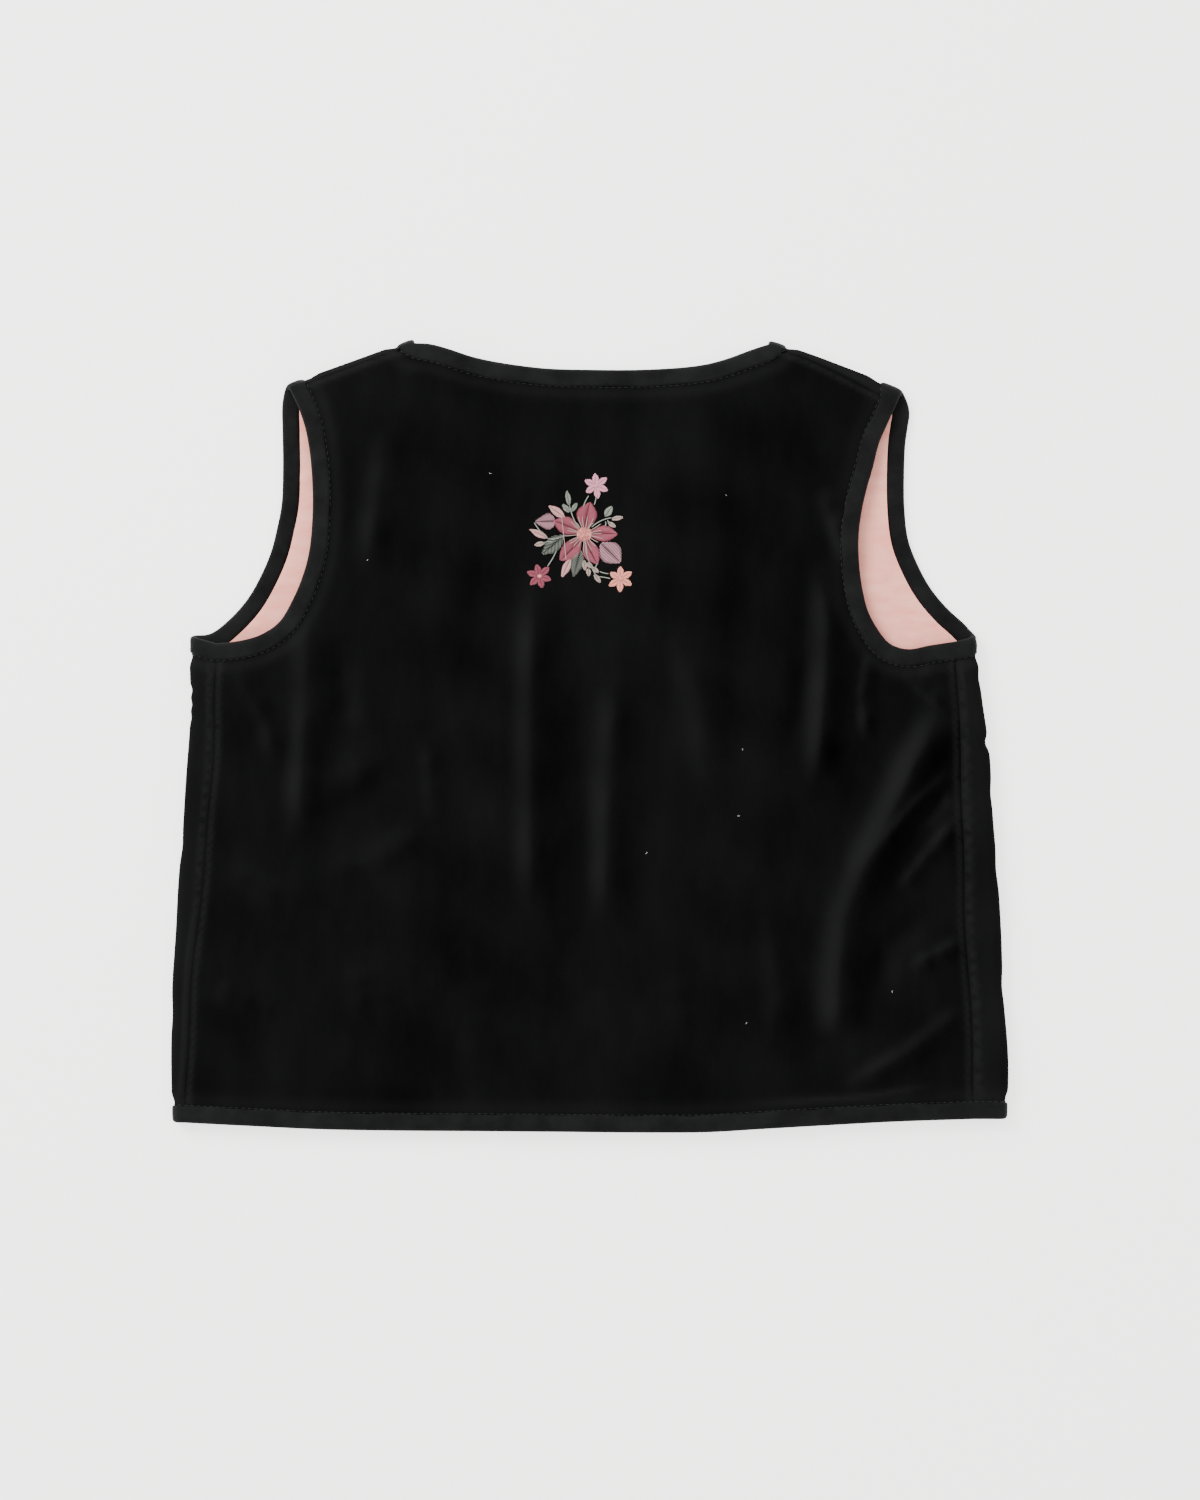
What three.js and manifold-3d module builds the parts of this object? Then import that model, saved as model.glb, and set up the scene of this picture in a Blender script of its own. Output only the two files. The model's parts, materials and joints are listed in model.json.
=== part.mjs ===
// Child's velvet waistcoat, laid flat on its front with the back up.
// Velvet back and fronts, satin lining, and a folded binding strip on every free edge.
// Millimetres. +X to the wearer's right, +Y to the neck, +Z up out of the back.
// The front panels lie on the table and wrap round the side and shoulder folds, so the side and
// shoulder seams lie on the upper side. Each panel is drawn in its own plane, then folded.
import * as THREE from 'three';
import { mergeVertices } from 'three/addons/utils/BufferGeometryUtils.js';
import Module from 'manifold-3d';

// ---- driving dimensions (mm) ----
const VELVET = 2.0;          // wall of a velvet panel, pile included
const LINING = 1.0;          // wall of a lining panel
const GAP = 0.3;             // between two pieces that meet
const FOLD_R = 4.2;          // outside radius of a side or shoulder fold
const ARC_R = 3.2;           // radius at which cloth lengths are kept round a fold
const BIND_W = 8.0;          // width of the folded binding
const BIND_WALL = 0.95;      // wall of the binding strip
const BIND_T = 3.6;          // thickness across a bound edge
const THIN_TO = 9.0;         // velvet is pressed thin this far in from a bound edge
const THIN_END = 14.5;       // and has its full wall from here on
const SEAM = GAP / 2;        // each seam edge stands back by half the gap
const SHOULDER_ZONE = 105;   // above this y the shoulder fold acts, below it the side fold
const CF_HALF = 0.9;         // each front's free edge stands this far from the centre line
const TOP = 2 * FOLD_R;      // height of the upper velvet face on flat cloth
const SAG = TOP - BIND_T - 0.1; // how far the back drops where no front lies under it

const PUFF = 0.6;            // how far the back stands up off the fronts between its folds

// side folds and side seams: distance from the centre line at each height
const SIDE = [
  { y: 60.0, foldLeft: 188.2, foldRight: 181.6, seamLeft: 175.0, seamRight: 171.2 },
  { y: 45.1, foldLeft: 188.2, foldRight: 182.4, seamLeft: 175.1, seamRight: 171.8 },
  { y: 16.9, foldLeft: 188.0, foldRight: 184.9, seamLeft: 176.5, seamRight: 173.2 },
  { y: -11.3, foldLeft: 189.6, foldRight: 188.5, seamLeft: 177.4, seamRight: 174.4 },
  { y: -44.2, foldLeft: 191.5, foldRight: 190.6, seamLeft: 179.8, seamRight: 175.5 },
  { y: -77.1, foldLeft: 194.3, foldRight: 192.9, seamLeft: 183.1, seamRight: 176.0 },
  { y: -114.7, foldLeft: 196.2, foldRight: 194.8, seamLeft: 187.1, seamRight: 178.4 },
  { y: -152.3, foldLeft: 197.2, foldRight: 196.9, seamLeft: 189.4, seamRight: 180.2 },
  { y: -190.0, foldLeft: 196.2, foldRight: 196.7, seamLeft: 191.3, seamRight: 180.8 },
];
// shoulder folds: height of the fold, and how far below it the seam lies, at each distance out
const SHOULDER_LEFT = [
  { out: 84.4, fold: 186.6, seamDrop: 1.9 }, { out: 103.2, fold: 179.8, seamDrop: 1.9 },
  { out: 122.0, fold: 173.0, seamDrop: 2.1 }, { out: 143.6, fold: 165.4, seamDrop: 2.6 },
];
const SHOULDER_RIGHT = [
  { out: 85.8, fold: 186.1, seamDrop: 1.9 }, { out: 103.6, fold: 180.2, seamDrop: 3.0 },
  { out: 122.4, fold: 173.0, seamDrop: 5.2 }, { out: 141.2, fold: 165.6, seamDrop: 7.4 },
  { out: 149.2, fold: 162.3, seamDrop: 8.2 },
];
// free edges of the back, as [x, y]
const BACK_NECK = [[-75, 184.4], [-65.6, 181.9], [-56.2, 178.8], [-46.8, 176.7], [-32.7, 174.6], [-18.6, 173.2],
  [0.2, 172.7], [19, 172.6], [33.1, 173], [47.2, 173.9], [56.6, 175.3], [66, 177.9], [75.4, 181.4]];
const HEM = [[-191.1, -181.9], [-159.6, -183.5], [-128, -185.0], [-90, -185.7], [-56.2, -185.9], [-18.6, -186.2],
  [28.4, -186.6], [56, -186.4], [80.1, -185.0], [113, -183.1], [145, -181.4], [180.7, -180.2]];
const ARM_BACK_LEFT = [[-165.2, 44.6], [-154.9, 47.5], [-145.9, 53.6], [-139.4, 64.4], [-134.7, 75.7], [-131.8, 86.9],
  [-130.4, 101], [-130.2, 115.1], [-131.4, 132.1], [-133.6, 144.5], [-137, 154.6]];
const ARM_BACK_RIGHT = [[160, 42.6], [149.5, 40.8], [141.2, 43.4], [135.8, 49.6], [130.9, 58.8], [128.1, 70], [126.7, 81.3],
  [126.4, 92.6], [127.6, 103.9], [130, 115.1], [133.2, 126.4], [136.1, 137.7], [139.8, 146.2]];
// free edges of the fronts where they lie on the table, as [out, y]
const ARM_FRONT_LEFT = [[144.9, 156], [144.8, 143.3], [144.6, 126.4], [145.2, 109.5], [147.3, 98.2], [150.2, 86.9],
  [154.9, 75.7], [161.4, 64.4], [170.4, 54.4], [179.0, 48.2]];
const ARM_FRONT_RIGHT = [[150.8, 153], [149.9, 145], [148.9, 137.7], [148.3, 123.6], [148.5, 106.7], [150.2, 92.6],
  [154.4, 81.3], [160.5, 70], [168.4, 60.4], [175.2, 54.2]];
const FRONT_NECK = [[80.6, 171.1], [68.8, 143.8], [49.0, 110.9], [24.4, 84.6]];   // hidden: a plain V
const V_POINT = 68.6;        // height where the two fronts meet
// largest folds of the back: a rounded ridge from one point to another
const RIDGES = [
  { x0: 165.7, y0: 12.2, x1: 141.2, y1: -39.5, height: 2.6, half: 13 },
  { x0: 141.2, y0: -39.5, x1: 120.6, y1: -86.5, height: 2.8, half: 14 },
  { x0: 120.6, y0: -86.5, x1: 117.7, y1: -142.9, height: 2.0, half: 14 },
  { x0: 112.8, y0: 52.0, x1: 107.4, y1: -30.1, height: 1.6, half: 11 },
  { x0: -26.1, y0: 71.4, x1: -26.1, y1: -86.5, height: 0.9, half: 14 },
  { x0: 10.6, y0: 20.7, x1: 10.6, y1: -86.5, height: 0.8, half: 14 },
  { x0: -133.2, y0: 54.5, x1: -133.2, y1: -44.2, height: 1.2, half: 14 },
];

const black = (name, rough) => new THREE.MeshStandardMaterial({ name, color: 0x0d0d10, roughness: rough, metalness: 0 });
const velvetMat = () => black('velvet', 0.95);
const bindingMat = () => new THREE.MeshStandardMaterial({ name: 'binding', color: 0x26272b, roughness: 0.85, metalness: 0 });
const liningMat = () => new THREE.MeshStandardMaterial({ name: 'lining', color: 0xe8b8a8, roughness: 0.45, metalness: 0 });

// lengths round a fold at which its facets meet
const FOLDS = [0, 1, 2, 3].map((k) => k * Math.PI / 3 * ARC_R);

// ---- small helpers ----
const smooth = (a, b, v) => { const t = Math.min(1, Math.max(0, (v - a) / (b - a))); return t * t * (3 - 2 * t); };
const lerp = (a, b, t) => a + (b - a) * t;
const unit = ([x, y]) => { const l = Math.hypot(x, y); return [x / l, y / l]; };
// value of a table's column, smooth between its rows and straight beyond them
function column(table, key, name, at) {
  const rows = [...table].sort((p, q) => p[key] - q[key]);
  const n = rows.length;
  let i = 0;
  while (i < n - 2 && at > rows[i + 1][key]) i++;
  const slope = (k) => {
    const a = rows[Math.max(0, k - 1)], b = rows[Math.min(n - 1, k + 1)];
    return (b[name] - a[name]) / (b[key] - a[key]);
  };
  const p = rows[i], q = rows[i + 1], h = q[key] - p[key], t = (at - p[key]) / h;
  if (t < 0) return p[name] + slope(i) * (at - p[key]);
  if (t > 1) return q[name] + slope(i + 1) * (at - q[key]);
  const t2 = t * t, t3 = t2 * t;
  return (2 * t3 - 3 * t2 + 1) * p[name] + (t3 - 2 * t2 + t) * h * slope(i)
    + (3 * t2 - 2 * t3) * q[name] + (t3 - t2) * h * slope(i + 1);
}
const side = (s) => (s < 0 ? 'Left' : 'Right');
const foldX = (s, y) => column(SIDE, 'y', 'fold' + side(s), y);
const seamX = (s, y) => column(SIDE, 'y', 'seam' + side(s), y);
const shoulder = (s) => (s < 0 ? SHOULDER_LEFT : SHOULDER_RIGHT);
const foldY = (s, out) => column(shoulder(s), 'out', 'fold', out);
const seamDrop = (s, out) => Math.max(1.2, column(shoulder(s), 'out', 'seamDrop', out));
// angle round the fold, from the upper face down, at which a seam that lies `drop` below the outline sits
const seamAngle = (drop) => Math.asin(Math.max(0, 1 - drop / FOLD_R));
const hemY = (x) => column(HEM.map(([a, b]) => ({ a, b })), 'a', 'b', Math.max(-191.1, Math.min(180.7, x)));

// seams, in each panel's own plane
const frontSideSeam = (s, y) => 2 * (foldX(s, y) - FOLD_R) + Math.PI * ARC_R - seamX(s, y);
function frontShoulderSeam(s, out) {
  const d = seamDrop(s, out), base = foldY(s, out) - FOLD_R;
  return base + (d >= FOLD_R ? Math.PI * ARC_R + d - FOLD_R : (Math.PI - seamAngle(d)) * ARC_R);
}
function backShoulderSeam(s, out) {
  const d = seamDrop(s, out), base = foldY(s, out) - FOLD_R;
  return base + (d >= FOLD_R ? FOLD_R - d : seamAngle(d) * ARC_R);
}

// ---- height of the upper layers ----
function neckOut(y) {        // half width of the front's V at a height
  const rows = [{ y: 186, out: 84 }, ...FRONT_NECK.map(([out, yy]) => ({ y: yy, out })), { y: V_POINT, out: CF_HALF }];
  return column(rows, 'y', 'out', y);
}
function lift(x, y) {
  const s = x < 0 ? -1 : 1;
  const inside = y < SHOULDER_ZONE ? foldX(s, y) - FOLD_R - Math.abs(x) : foldY(s, Math.abs(x)) - FOLD_R - y;
  let up = PUFF;
  for (const r of RIDGES) {
    const dx = r.x1 - r.x0, dy = r.y1 - r.y0, len = Math.hypot(dx, dy);
    const along = Math.min(1, Math.max(0, ((x - r.x0) * dx + (y - r.y0) * dy) / (len * len)));
    const off = Math.hypot(x - r.x0 - along * dx, y - r.y0 - along * dy);
    up = Math.max(up, PUFF + r.height * (1 - smooth(0, r.half, off)));
  }
  const free = smooth(8, 34, y - hemY(x));            // the hem lies flat
  const sag = y > V_POINT ? SAG * smooth(4, 52, (neckOut(Math.min(y, 184)) - Math.abs(x)) * 0.85) : 0;
  return up * free * smooth(0, 24, inside) * (1 - sag / SAG) - sag;
}

// ---- folding: a point (x, y) of a panel's own plane, `d` below the cloth's outer face ----
function foldFront(s, x, y, d) {
  const r = FOLD_R - d;
  if (y < SHOULDER_ZONE) {
    const base = foldX(s, y) - FOLD_R, t = s * x - base, end = Math.PI * ARC_R;
    if (t <= 0) return [x, y, d];
    if (t < end) return [s * (base + r * Math.sin(t / ARC_R)), y, FOLD_R - r * Math.cos(t / ARC_R)];
    const X = s * (base - (t - end));
    return [X, y, TOP - d + lift(X, y)];
  }
  const base = foldY(s, Math.abs(x)) - FOLD_R, t = y - base, end = Math.PI * ARC_R;
  if (t <= 0) return [x, y, d];
  if (t < end) return [x, base + r * Math.sin(t / ARC_R), FOLD_R - r * Math.cos(t / ARC_R)];
  const Y = base - (t - end);
  return [x, Y, TOP - d + lift(x, Y)];
}
function foldBack(x, y, d) {
  const s = x < 0 ? -1 : 1, r = FOLD_R - d;
  if (y > SHOULDER_ZONE && Math.abs(x) > 78) {
    const base = foldY(s, Math.abs(x)) - FOLD_R, t = y - base;
    if (t > 0) return [x, base + r * Math.sin(t / ARC_R), FOLD_R + r * Math.cos(t / ARC_R)];
  }
  return [x, y, TOP - d + lift(x, y)];
}
// how far round its fold a point lies, as a length, for cutting the mesh along the fold
const roundFront = (s) => (x, y) => (y < SHOULDER_ZONE ? s * x - foldX(s, y) + FOLD_R : y - foldY(s, Math.abs(x)) + FOLD_R);
const roundBack = (x, y) => (y > SHOULDER_ZONE && Math.abs(x) > 78 ? y - foldY(x < 0 ? -1 : 1, Math.abs(x)) + FOLD_R : -60);

// ---- outlines ----
// a smooth line through points, stepped about every `step`
function line(points, step) {
  if (points.length === 2) {
    const n = Math.max(1, Math.round(Math.hypot(points[1][0] - points[0][0], points[1][1] - points[0][1]) / step));
    return Array.from({ length: n + 1 }, (_, i) => [lerp(points[0][0], points[1][0], i / n), lerp(points[0][1], points[1][1], i / n)]);
  }
  const c = new THREE.CatmullRomCurve3(points.map(([x, y]) => new THREE.Vector3(x, y, 0)), false, 'centripetal');
  return c.getSpacedPoints(Math.max(2, Math.round(c.getLength() / step))).map((p) => [p.x, p.y]);
}
const out = (s, pts) => pts.map(([a, y]) => [s * a, y]);
const seamLine = (n, a, b, f) => Array.from({ length: n + 1 }, (_, i) => f(lerp(a, b, i / n)));

const underarmY = { [-1]: 43.5, [1]: 44.4 };                 // where the side seam meets the armhole
const armTip = { [-1]: 141.2, [1]: 144.6 };                  // where the shoulder seam meets the armhole
const neckTip = { [-1]: 82.6, [1]: 84.2 };                   // where the shoulder seam meets the neck

function armholeBack(s, step) {                              // from the side seam up to the shoulder seam
  const pts = s < 0 ? ARM_BACK_LEFT : ARM_BACK_RIGHT;
  return line([[s * seamX(s, underarmY[s]), underarmY[s]], ...pts, [s * armTip[s], backShoulderSeam(s, armTip[s])]], step);
}
function armholeFront(s, step) {                             // from the shoulder seam down to the side seam
  const pts = s < 0 ? ARM_FRONT_LEFT : ARM_FRONT_RIGHT, a = armTip[s], u = underarmY[s];
  const turn = (a + pts[0][0]) / 2, low = u + 5.0;
  return line([[s * a, frontShoulderSeam(s, a)], [s * turn, foldY(s, turn) - FOLD_R + ARC_R * 1.4], ...out(s, pts),
    [s * (foldX(s, low) - FOLD_R + ARC_R * 1.3), low - 1.2], [s * frontSideSeam(s, u), u]], step);
}
function neckFront(s, step) {                                // from the V point up to the shoulder seam
  const a = neckTip[s], top = foldY(s, a + 1) - FOLD_R;
  return line([[s * CF_HALF, V_POINT], ...out(s, [...FRONT_NECK].reverse()), [s * (a - 0.3), top + 1], [s * a, frontShoulderSeam(s, a)]], step);
}
function neckBack(step) {                                    // from the right shoulder seam to the left one
  return line([[neckTip[1], backShoulderSeam(1, neckTip[1])], ...[...BACK_NECK].reverse(),
    [-neckTip[-1], backShoulderSeam(-1, neckTip[-1])]], step);
}
const HEM_SEAM = { [-1]: -181.9, [1]: -180.2 };
const hemBack = (step) => line(HEM, step);
function hemFront(s, step) {                                 // from the centre front out to the side seam
  const y = HEM_SEAM[s], end = frontSideSeam(s, y);
  return line([[s * CF_HALF, -184.2], [s * 60, -184.0], [s * 130, lerp(-184, y, 0.5)], [s * 175, y - 0.3], [s * (end - 8), y], [s * end, y]], step);
}
const centreFront = (s, step) => line([[s * CF_HALF, -184.2], [s * CF_HALF, V_POINT]], step);

// ---- a panel: its edges in order, anticlockwise, each bound or sewn ----
// where two lines of points cross, as [way along the first, way along the second]
function crossing(m, q) {
  for (let i = m.length - 2; i >= 0; i--) {
    for (let j = 0; j < q.length - 1; j++) {
      const a = [m[i + 1][0] - m[i][0], m[i + 1][1] - m[i][1]], b = [q[j + 1][0] - q[j][0], q[j + 1][1] - q[j][1]];
      const c = a[0] * b[1] - a[1] * b[0], dx = q[j][0] - m[i][0], dy = q[j][1] - m[i][1];
      if (Math.abs(c) < 1e-9) continue;
      const t = (dx * b[1] - dy * b[0]) / c, u = (dx * a[1] - dy * a[0]) / c;
      if (t >= 0 && t <= 1 && u >= 0 && u <= 1) return [i + t, j + u];
    }
  }
  return null;
}
// the stretch of a line from one crossing to the other; points cut off at an end are set between it and the next point
function between(m, from, to) {
  const at = (v) => { const i = Math.min(m.length - 2, Math.floor(v)), t = v - i; return [lerp(m[i][0], m[i + 1][0], t), lerp(m[i][1], m[i + 1][1], t)]; };
  const start = at(from), end = at(to), last = m.length - 2;
  let a = 2, b = last - 1;
  while (a < b && a < from + 0.25) a++;
  while (b > a && b > to - 0.25) b--;
  const res = [];
  for (let i = 2; i < last; i++) {
    if (i < a) res.push([lerp(start[0], m[a][0], (i - 1) / (a - 1)), lerp(start[1], m[a][1], (i - 1) / (a - 1))]);
    else if (i > b) res.push([lerp(m[b][0], end[0], (i - b) / (last - b)), lerp(m[b][1], end[1], (i - b) / (last - b))]);
    else res.push(m[i]);
  }
  return [...res, end];
}
function offsetLoop(edges, insets) {
  const moved = edges.map((e) => {
    const d = e.bound ? insets.bound : insets.sewn, p = e.points;
    const m = p.map((q, i) => {
      const a = p[Math.max(0, i - 1)], b = p[Math.min(p.length - 1, i + 1)], l = Math.hypot(b[0] - a[0], b[1] - a[1]);
      return [q[0] - (b[1] - a[1]) / l * d, q[1] + (b[0] - a[0]) / l * d];
    });
    const far = (a, b) => { const l = Math.hypot(a[0] - b[0], a[1] - b[1]); return [a[0] + (a[0] - b[0]) / l * 22, a[1] + (a[1] - b[1]) / l * 22]; };
    return [far(m[0], m[1]), ...m, far(m[m.length - 1], m[m.length - 2])];
  });
  const n = edges.length, cut = moved.map((m, k) => crossing(m, moved[(k + 1) % n]));
  const loop = [];
  edges.forEach((e, k) => {
    const before = cut[(k + n - 1) % n], after = cut[k], m = moved[k];
    if (!before || !after) throw new Error('edges ' + k + ' do not meet');
    loop.push(...between(m, before[1], after[0]));
  });
  return loop;
}
function distanceTo(edges) {                                 // distance to the nearest bound edge
  const segs = edges.filter((e) => e.bound).flatMap((e) => e.points.slice(1).map((q, i) => [e.points[i], q]));
  return (x, y) => {
    let best = 1e9;
    for (const [p, q] of segs) {
      const dx = q[0] - p[0], dy = q[1] - p[1];
      const t = Math.min(1, Math.max(0, ((x - p[0]) * dx + (y - p[1]) * dy) / (dx * dx + dy * dy)));
      best = Math.min(best, Math.hypot(x - p[0] - t * dx, y - p[1] - t * dy));
    }
    return best;
  };
}
const insidePoly = (poly, x, y) => {
  let c = false;
  for (let i = 0, j = poly.length - 1; i < poly.length; j = i++) {
    const [xi, yi] = poly[i], [xj, yj] = poly[j];
    if ((yi > y) !== (yj > y) && x < (xj - xi) * (y - yi) / (yj - yi) + xi) c = !c;
  }
  return c;
};
const nearPoly = (poly, x, y) => {
  let best = 1e9;
  for (let i = 0, j = poly.length - 1; i < poly.length; j = i++) {
    const p = poly[j], q = poly[i], dx = q[0] - p[0], dy = q[1] - p[1];
    const t = Math.min(1, Math.max(0, ((x - p[0]) * dx + (y - p[1]) * dy) / (dx * dx + dy * dy)));
    best = Math.min(best, Math.hypot(x - p[0] - t * dx, y - p[1] - t * dy));
  }
  return best;
};
// Delaunay triangles of a set of points, by adding one point at a time
function delaunay(pts) {
  const n = pts.length, all = [...pts, [-3000, -3000], [3000, -3000], [0, 4000]];
  const circle = (a, b, c) => {
    const [ax, ay] = all[a], [bx, by] = all[b], [cx, cy] = all[c];
    const d = 2 * (ax * (by - cy) + bx * (cy - ay) + cx * (ay - by));
    const A = ax * ax + ay * ay, B = bx * bx + by * by, C = cx * cx + cy * cy;
    const ux = (A * (by - cy) + B * (cy - ay) + C * (ay - by)) / d, uy = (A * (cx - bx) + B * (ax - cx) + C * (bx - ax)) / d;
    return { t: [a, b, c], ux, uy, r: (ax - ux) ** 2 + (ay - uy) ** 2 };
  };
  let tris = [circle(n, n + 1, n + 2)];
  for (let i = 0; i < n; i++) {
    const [x, y] = all[i], keep = [], open = new Map();
    for (const c of tris) {
      if ((x - c.ux) ** 2 + (y - c.uy) ** 2 < c.r) {
        for (const [p, q] of [[0, 1], [1, 2], [2, 0]]) {
          const a = c.t[p], b = c.t[q], back = b + ',' + a;
          if (open.has(back)) open.delete(back); else open.set(a + ',' + b, [a, b]);
        }
      } else keep.push(c);
    }
    for (const [a, b] of open.values()) keep.push(circle(a, b, i));
    tris = keep;
  }
  return tris.map((c) => c.t).filter((t) => t.every((v) => v < n));
}
// flat mesh of a panel: strips along its edges, and triangles inside
function flatMesh(edges, insets, spacing, extra) {
  const rings = insets.map((inset) => offsetLoop(edges, inset)), last = rings.length - 1;
  const N = rings[0].length, pts = rings.flat(), tris = [];
  for (let k = 0; k < last; k++) {
    for (let i = 0; i < N; i++) {
      const j = (i + 1) % N, a = k * N + i, b = k * N + j, c = (k + 1) * N + i, d = (k + 1) * N + j;
      tris.push([a, b, d], [a, d, c]);
    }
  }
  const inner = rings[last], fill = [];
  const add = (x, y, keepOff) => {
    if (!insidePoly(inner, x, y) || nearPoly(inner, x, y) < keepOff) return;
    if (fill.some((q) => Math.hypot(q[0] - x, q[1] - y) < keepOff)) return;
    fill.push([x, y]);
  };
  for (const [x, y] of extra) add(x, y, 7);
  const xs = inner.map((p) => p[0]), ys = inner.map((p) => p[1]);
  let row = 0;
  for (let y = Math.min(...ys); y < Math.max(...ys); y += spacing * 0.866, row++) {
    for (let x = Math.min(...xs) + (row % 2) * spacing / 2; x < Math.max(...xs); x += spacing) add(x + 0.013 * ((row * 7) % 5), y + 0.011 * (Math.round(x) % 3), spacing * 0.62);
  }
  const local = [...inner, ...fill], keep = delaunay(local).filter((t) => {
    const cx = (local[t[0]][0] + local[t[1]][0] + local[t[2]][0]) / 3, cy = (local[t[0]][1] + local[t[1]][1] + local[t[2]][1]) / 3;
    return insidePoly(inner, cx, cy);
  });
  pts.push(...fill);
  for (const t of keep) {
    const [a, b, c] = t, p = local[a], q = local[b], r = local[c];
    const turn = (q[0] - p[0]) * (r[1] - p[1]) - (q[1] - p[1]) * (r[0] - p[0]);
    tris.push((turn > 0 ? [a, b, c] : [a, c, b]).map((v) => v + last * N));
  }
  return { pts, tris };
}
// cut the triangles where `field` passes `level`
function cutMesh(mesh, field, level) {
  const f = mesh.pts.map(([x, y]) => field(x, y) - level), cut = new Map(), tris = [];
  const mid = (a, b) => {
    const key = a < b ? a + ',' + b : b + ',' + a;
    if (!cut.has(key)) {
      let lo = 0, hi = 1;                                    // the field bends a little between two points
      const P = mesh.pts[a], Q = mesh.pts[b], fa = f[a];
      for (let i = 0; i < 24; i++) {
        const m = (lo + hi) / 2, v = field(lerp(P[0], Q[0], m), lerp(P[1], Q[1], m)) - level;
        if (v * fa > 0) lo = m; else hi = m;
      }
      const m = (lo + hi) / 2;
      cut.set(key, mesh.pts.push([lerp(P[0], Q[0], m), lerp(P[1], Q[1], m)]) - 1);
      f.push(0);
    }
    return cut.get(key);
  };
  for (const t of mesh.tris) {
    const sgn = t.slice(0, 3).map((v) => (Math.abs(f[v]) < 0.25 ? 0 : Math.sign(f[v])));
    if (sgn.every((v) => v >= 0) || sgn.every((v) => v <= 0)) { tris.push(t); continue; }
    const zero = sgn.indexOf(0);
    if (zero >= 0) {
      const [a, b, c] = [t[zero], t[(zero + 1) % 3], t[(zero + 2) % 3]], m = mid(b, c);
      tris.push([a, b, m, t[3]], [a, m, c, t[3]]);
      continue;
    }
    const lone = sgn.findIndex((v) => sgn.filter((w) => w === v).length === 1);
    const [a, b, c] = [t[lone], t[(lone + 1) % 3], t[(lone + 2) % 3]], p = mid(a, b), q = mid(a, c);
    tris.push([a, p, q, t[3]], [p, b, c, t[3]], [p, c, q, t[3]]);
  }
  return { pts: mesh.pts, tris };
}
// closed wall between two depths of a folded panel
function wall(mesh, place, outer, inner) {
  const used = new Map(), pos = [], idx = [];
  for (const t of mesh.tris) for (const v of t.slice(0, 3)) if (!used.has(v)) used.set(v, used.size);
  const list = [...used.keys()], n = list.length;
  for (const v of list) pos.push(...place(mesh.pts[v][0], mesh.pts[v][1], outer(v)));
  for (const v of list) pos.push(...place(mesh.pts[v][0], mesh.pts[v][1], inner(v)));
  const border = new Map();
  for (const t of mesh.tris) {
    const [a, b, c] = t.slice(0, 3).map((v) => used.get(v));
    idx.push(a, b, c, a + n, c + n, b + n);
    for (const [p, q] of [[a, b], [b, c], [c, a]]) {
      if (border.has(q + ',' + p)) border.delete(q + ',' + p); else border.set(p + ',' + q, [p, q]);
    }
  }
  for (const [p, q] of border.values()) idx.push(q, p, p + n, q, p + n, q + n);
  return [pos, idx];
}
function geometry(pos, idx) {
  const g = new THREE.BufferGeometry();
  g.setAttribute('position', new THREE.Float32BufferAttribute(pos, 3));
  g.setIndex(idx);
  let vol = 0;
  const v = (i) => [pos[3 * i], pos[3 * i + 1], pos[3 * i + 2]];
  for (let i = 0; i < idx.length; i += 3) {
    const [a, b, c] = [v(idx[i]), v(idx[i + 1]), v(idx[i + 2])];
    vol += (a[0] * (b[1] * c[2] - b[2] * c[1]) - a[1] * (b[0] * c[2] - b[2] * c[0]) + a[2] * (b[0] * c[1] - b[1] * c[0])) / 6;
  }
  if (vol < 0) for (let i = 0; i < idx.length; i += 3) [idx[i + 1], idx[i + 2]] = [idx[i + 2], idx[i + 1]];
  g.setIndex(idx);
  g.computeVertexNormals();
  return g;
}

// ---- the panels' edges, anticlockwise seen with the panel's lining side hidden ----
const STEP = 30;             // facet lengths: along straight edges, round armholes, inside a panel
const ARM_STEP = 12;
const NECK_STEP = 15;
const FACET = 46;
const FLAT_FACET = 75;         // inside a front, which lies flat
function backEdges() {
  return [
    { bound: true, points: hemBack(STEP) },
    { bound: false, points: seamLine(7, HEM_SEAM[1], underarmY[1], (y) => [seamX(1, y), y]) },
    { bound: true, points: armholeBack(1, ARM_STEP) },
    { bound: false, points: seamLine(3, armTip[1], neckTip[1], (a) => [a, backShoulderSeam(1, a)]) },
    { bound: true, points: neckBack(NECK_STEP) },
    { bound: false, points: seamLine(3, neckTip[-1], armTip[-1], (a) => [-a, backShoulderSeam(-1, a)]) },
    { bound: true, points: armholeBack(-1, ARM_STEP).reverse() },
    { bound: false, points: seamLine(7, underarmY[-1], HEM_SEAM[-1], (y) => [-seamX(-1, y), y]) },
  ];
}
function frontEdges(s) {
  const edges = [
    { bound: true, points: roundFold(hemFront(s, STEP), roundFront(s)) },
    { bound: false, points: seamLine(7, HEM_SEAM[s], underarmY[s], (y) => [s * frontSideSeam(s, y), y]) },
    { bound: true, points: roundFold(armholeFront(s, ARM_STEP), roundFront(s)).reverse() },
    { bound: false, points: seamLine(3, armTip[s], neckTip[s], (a) => [s * a, frontShoulderSeam(s, a)]) },
    { bound: true, points: roundFold(neckFront(s, NECK_STEP), roundFront(s)).reverse() },
    { bound: true, points: centreFront(s, 62).reverse() },
  ];
  return s > 0 ? edges : edges.reverse().map((e) => ({ bound: e.bound, points: [...e.points].reverse() }));
}
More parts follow.
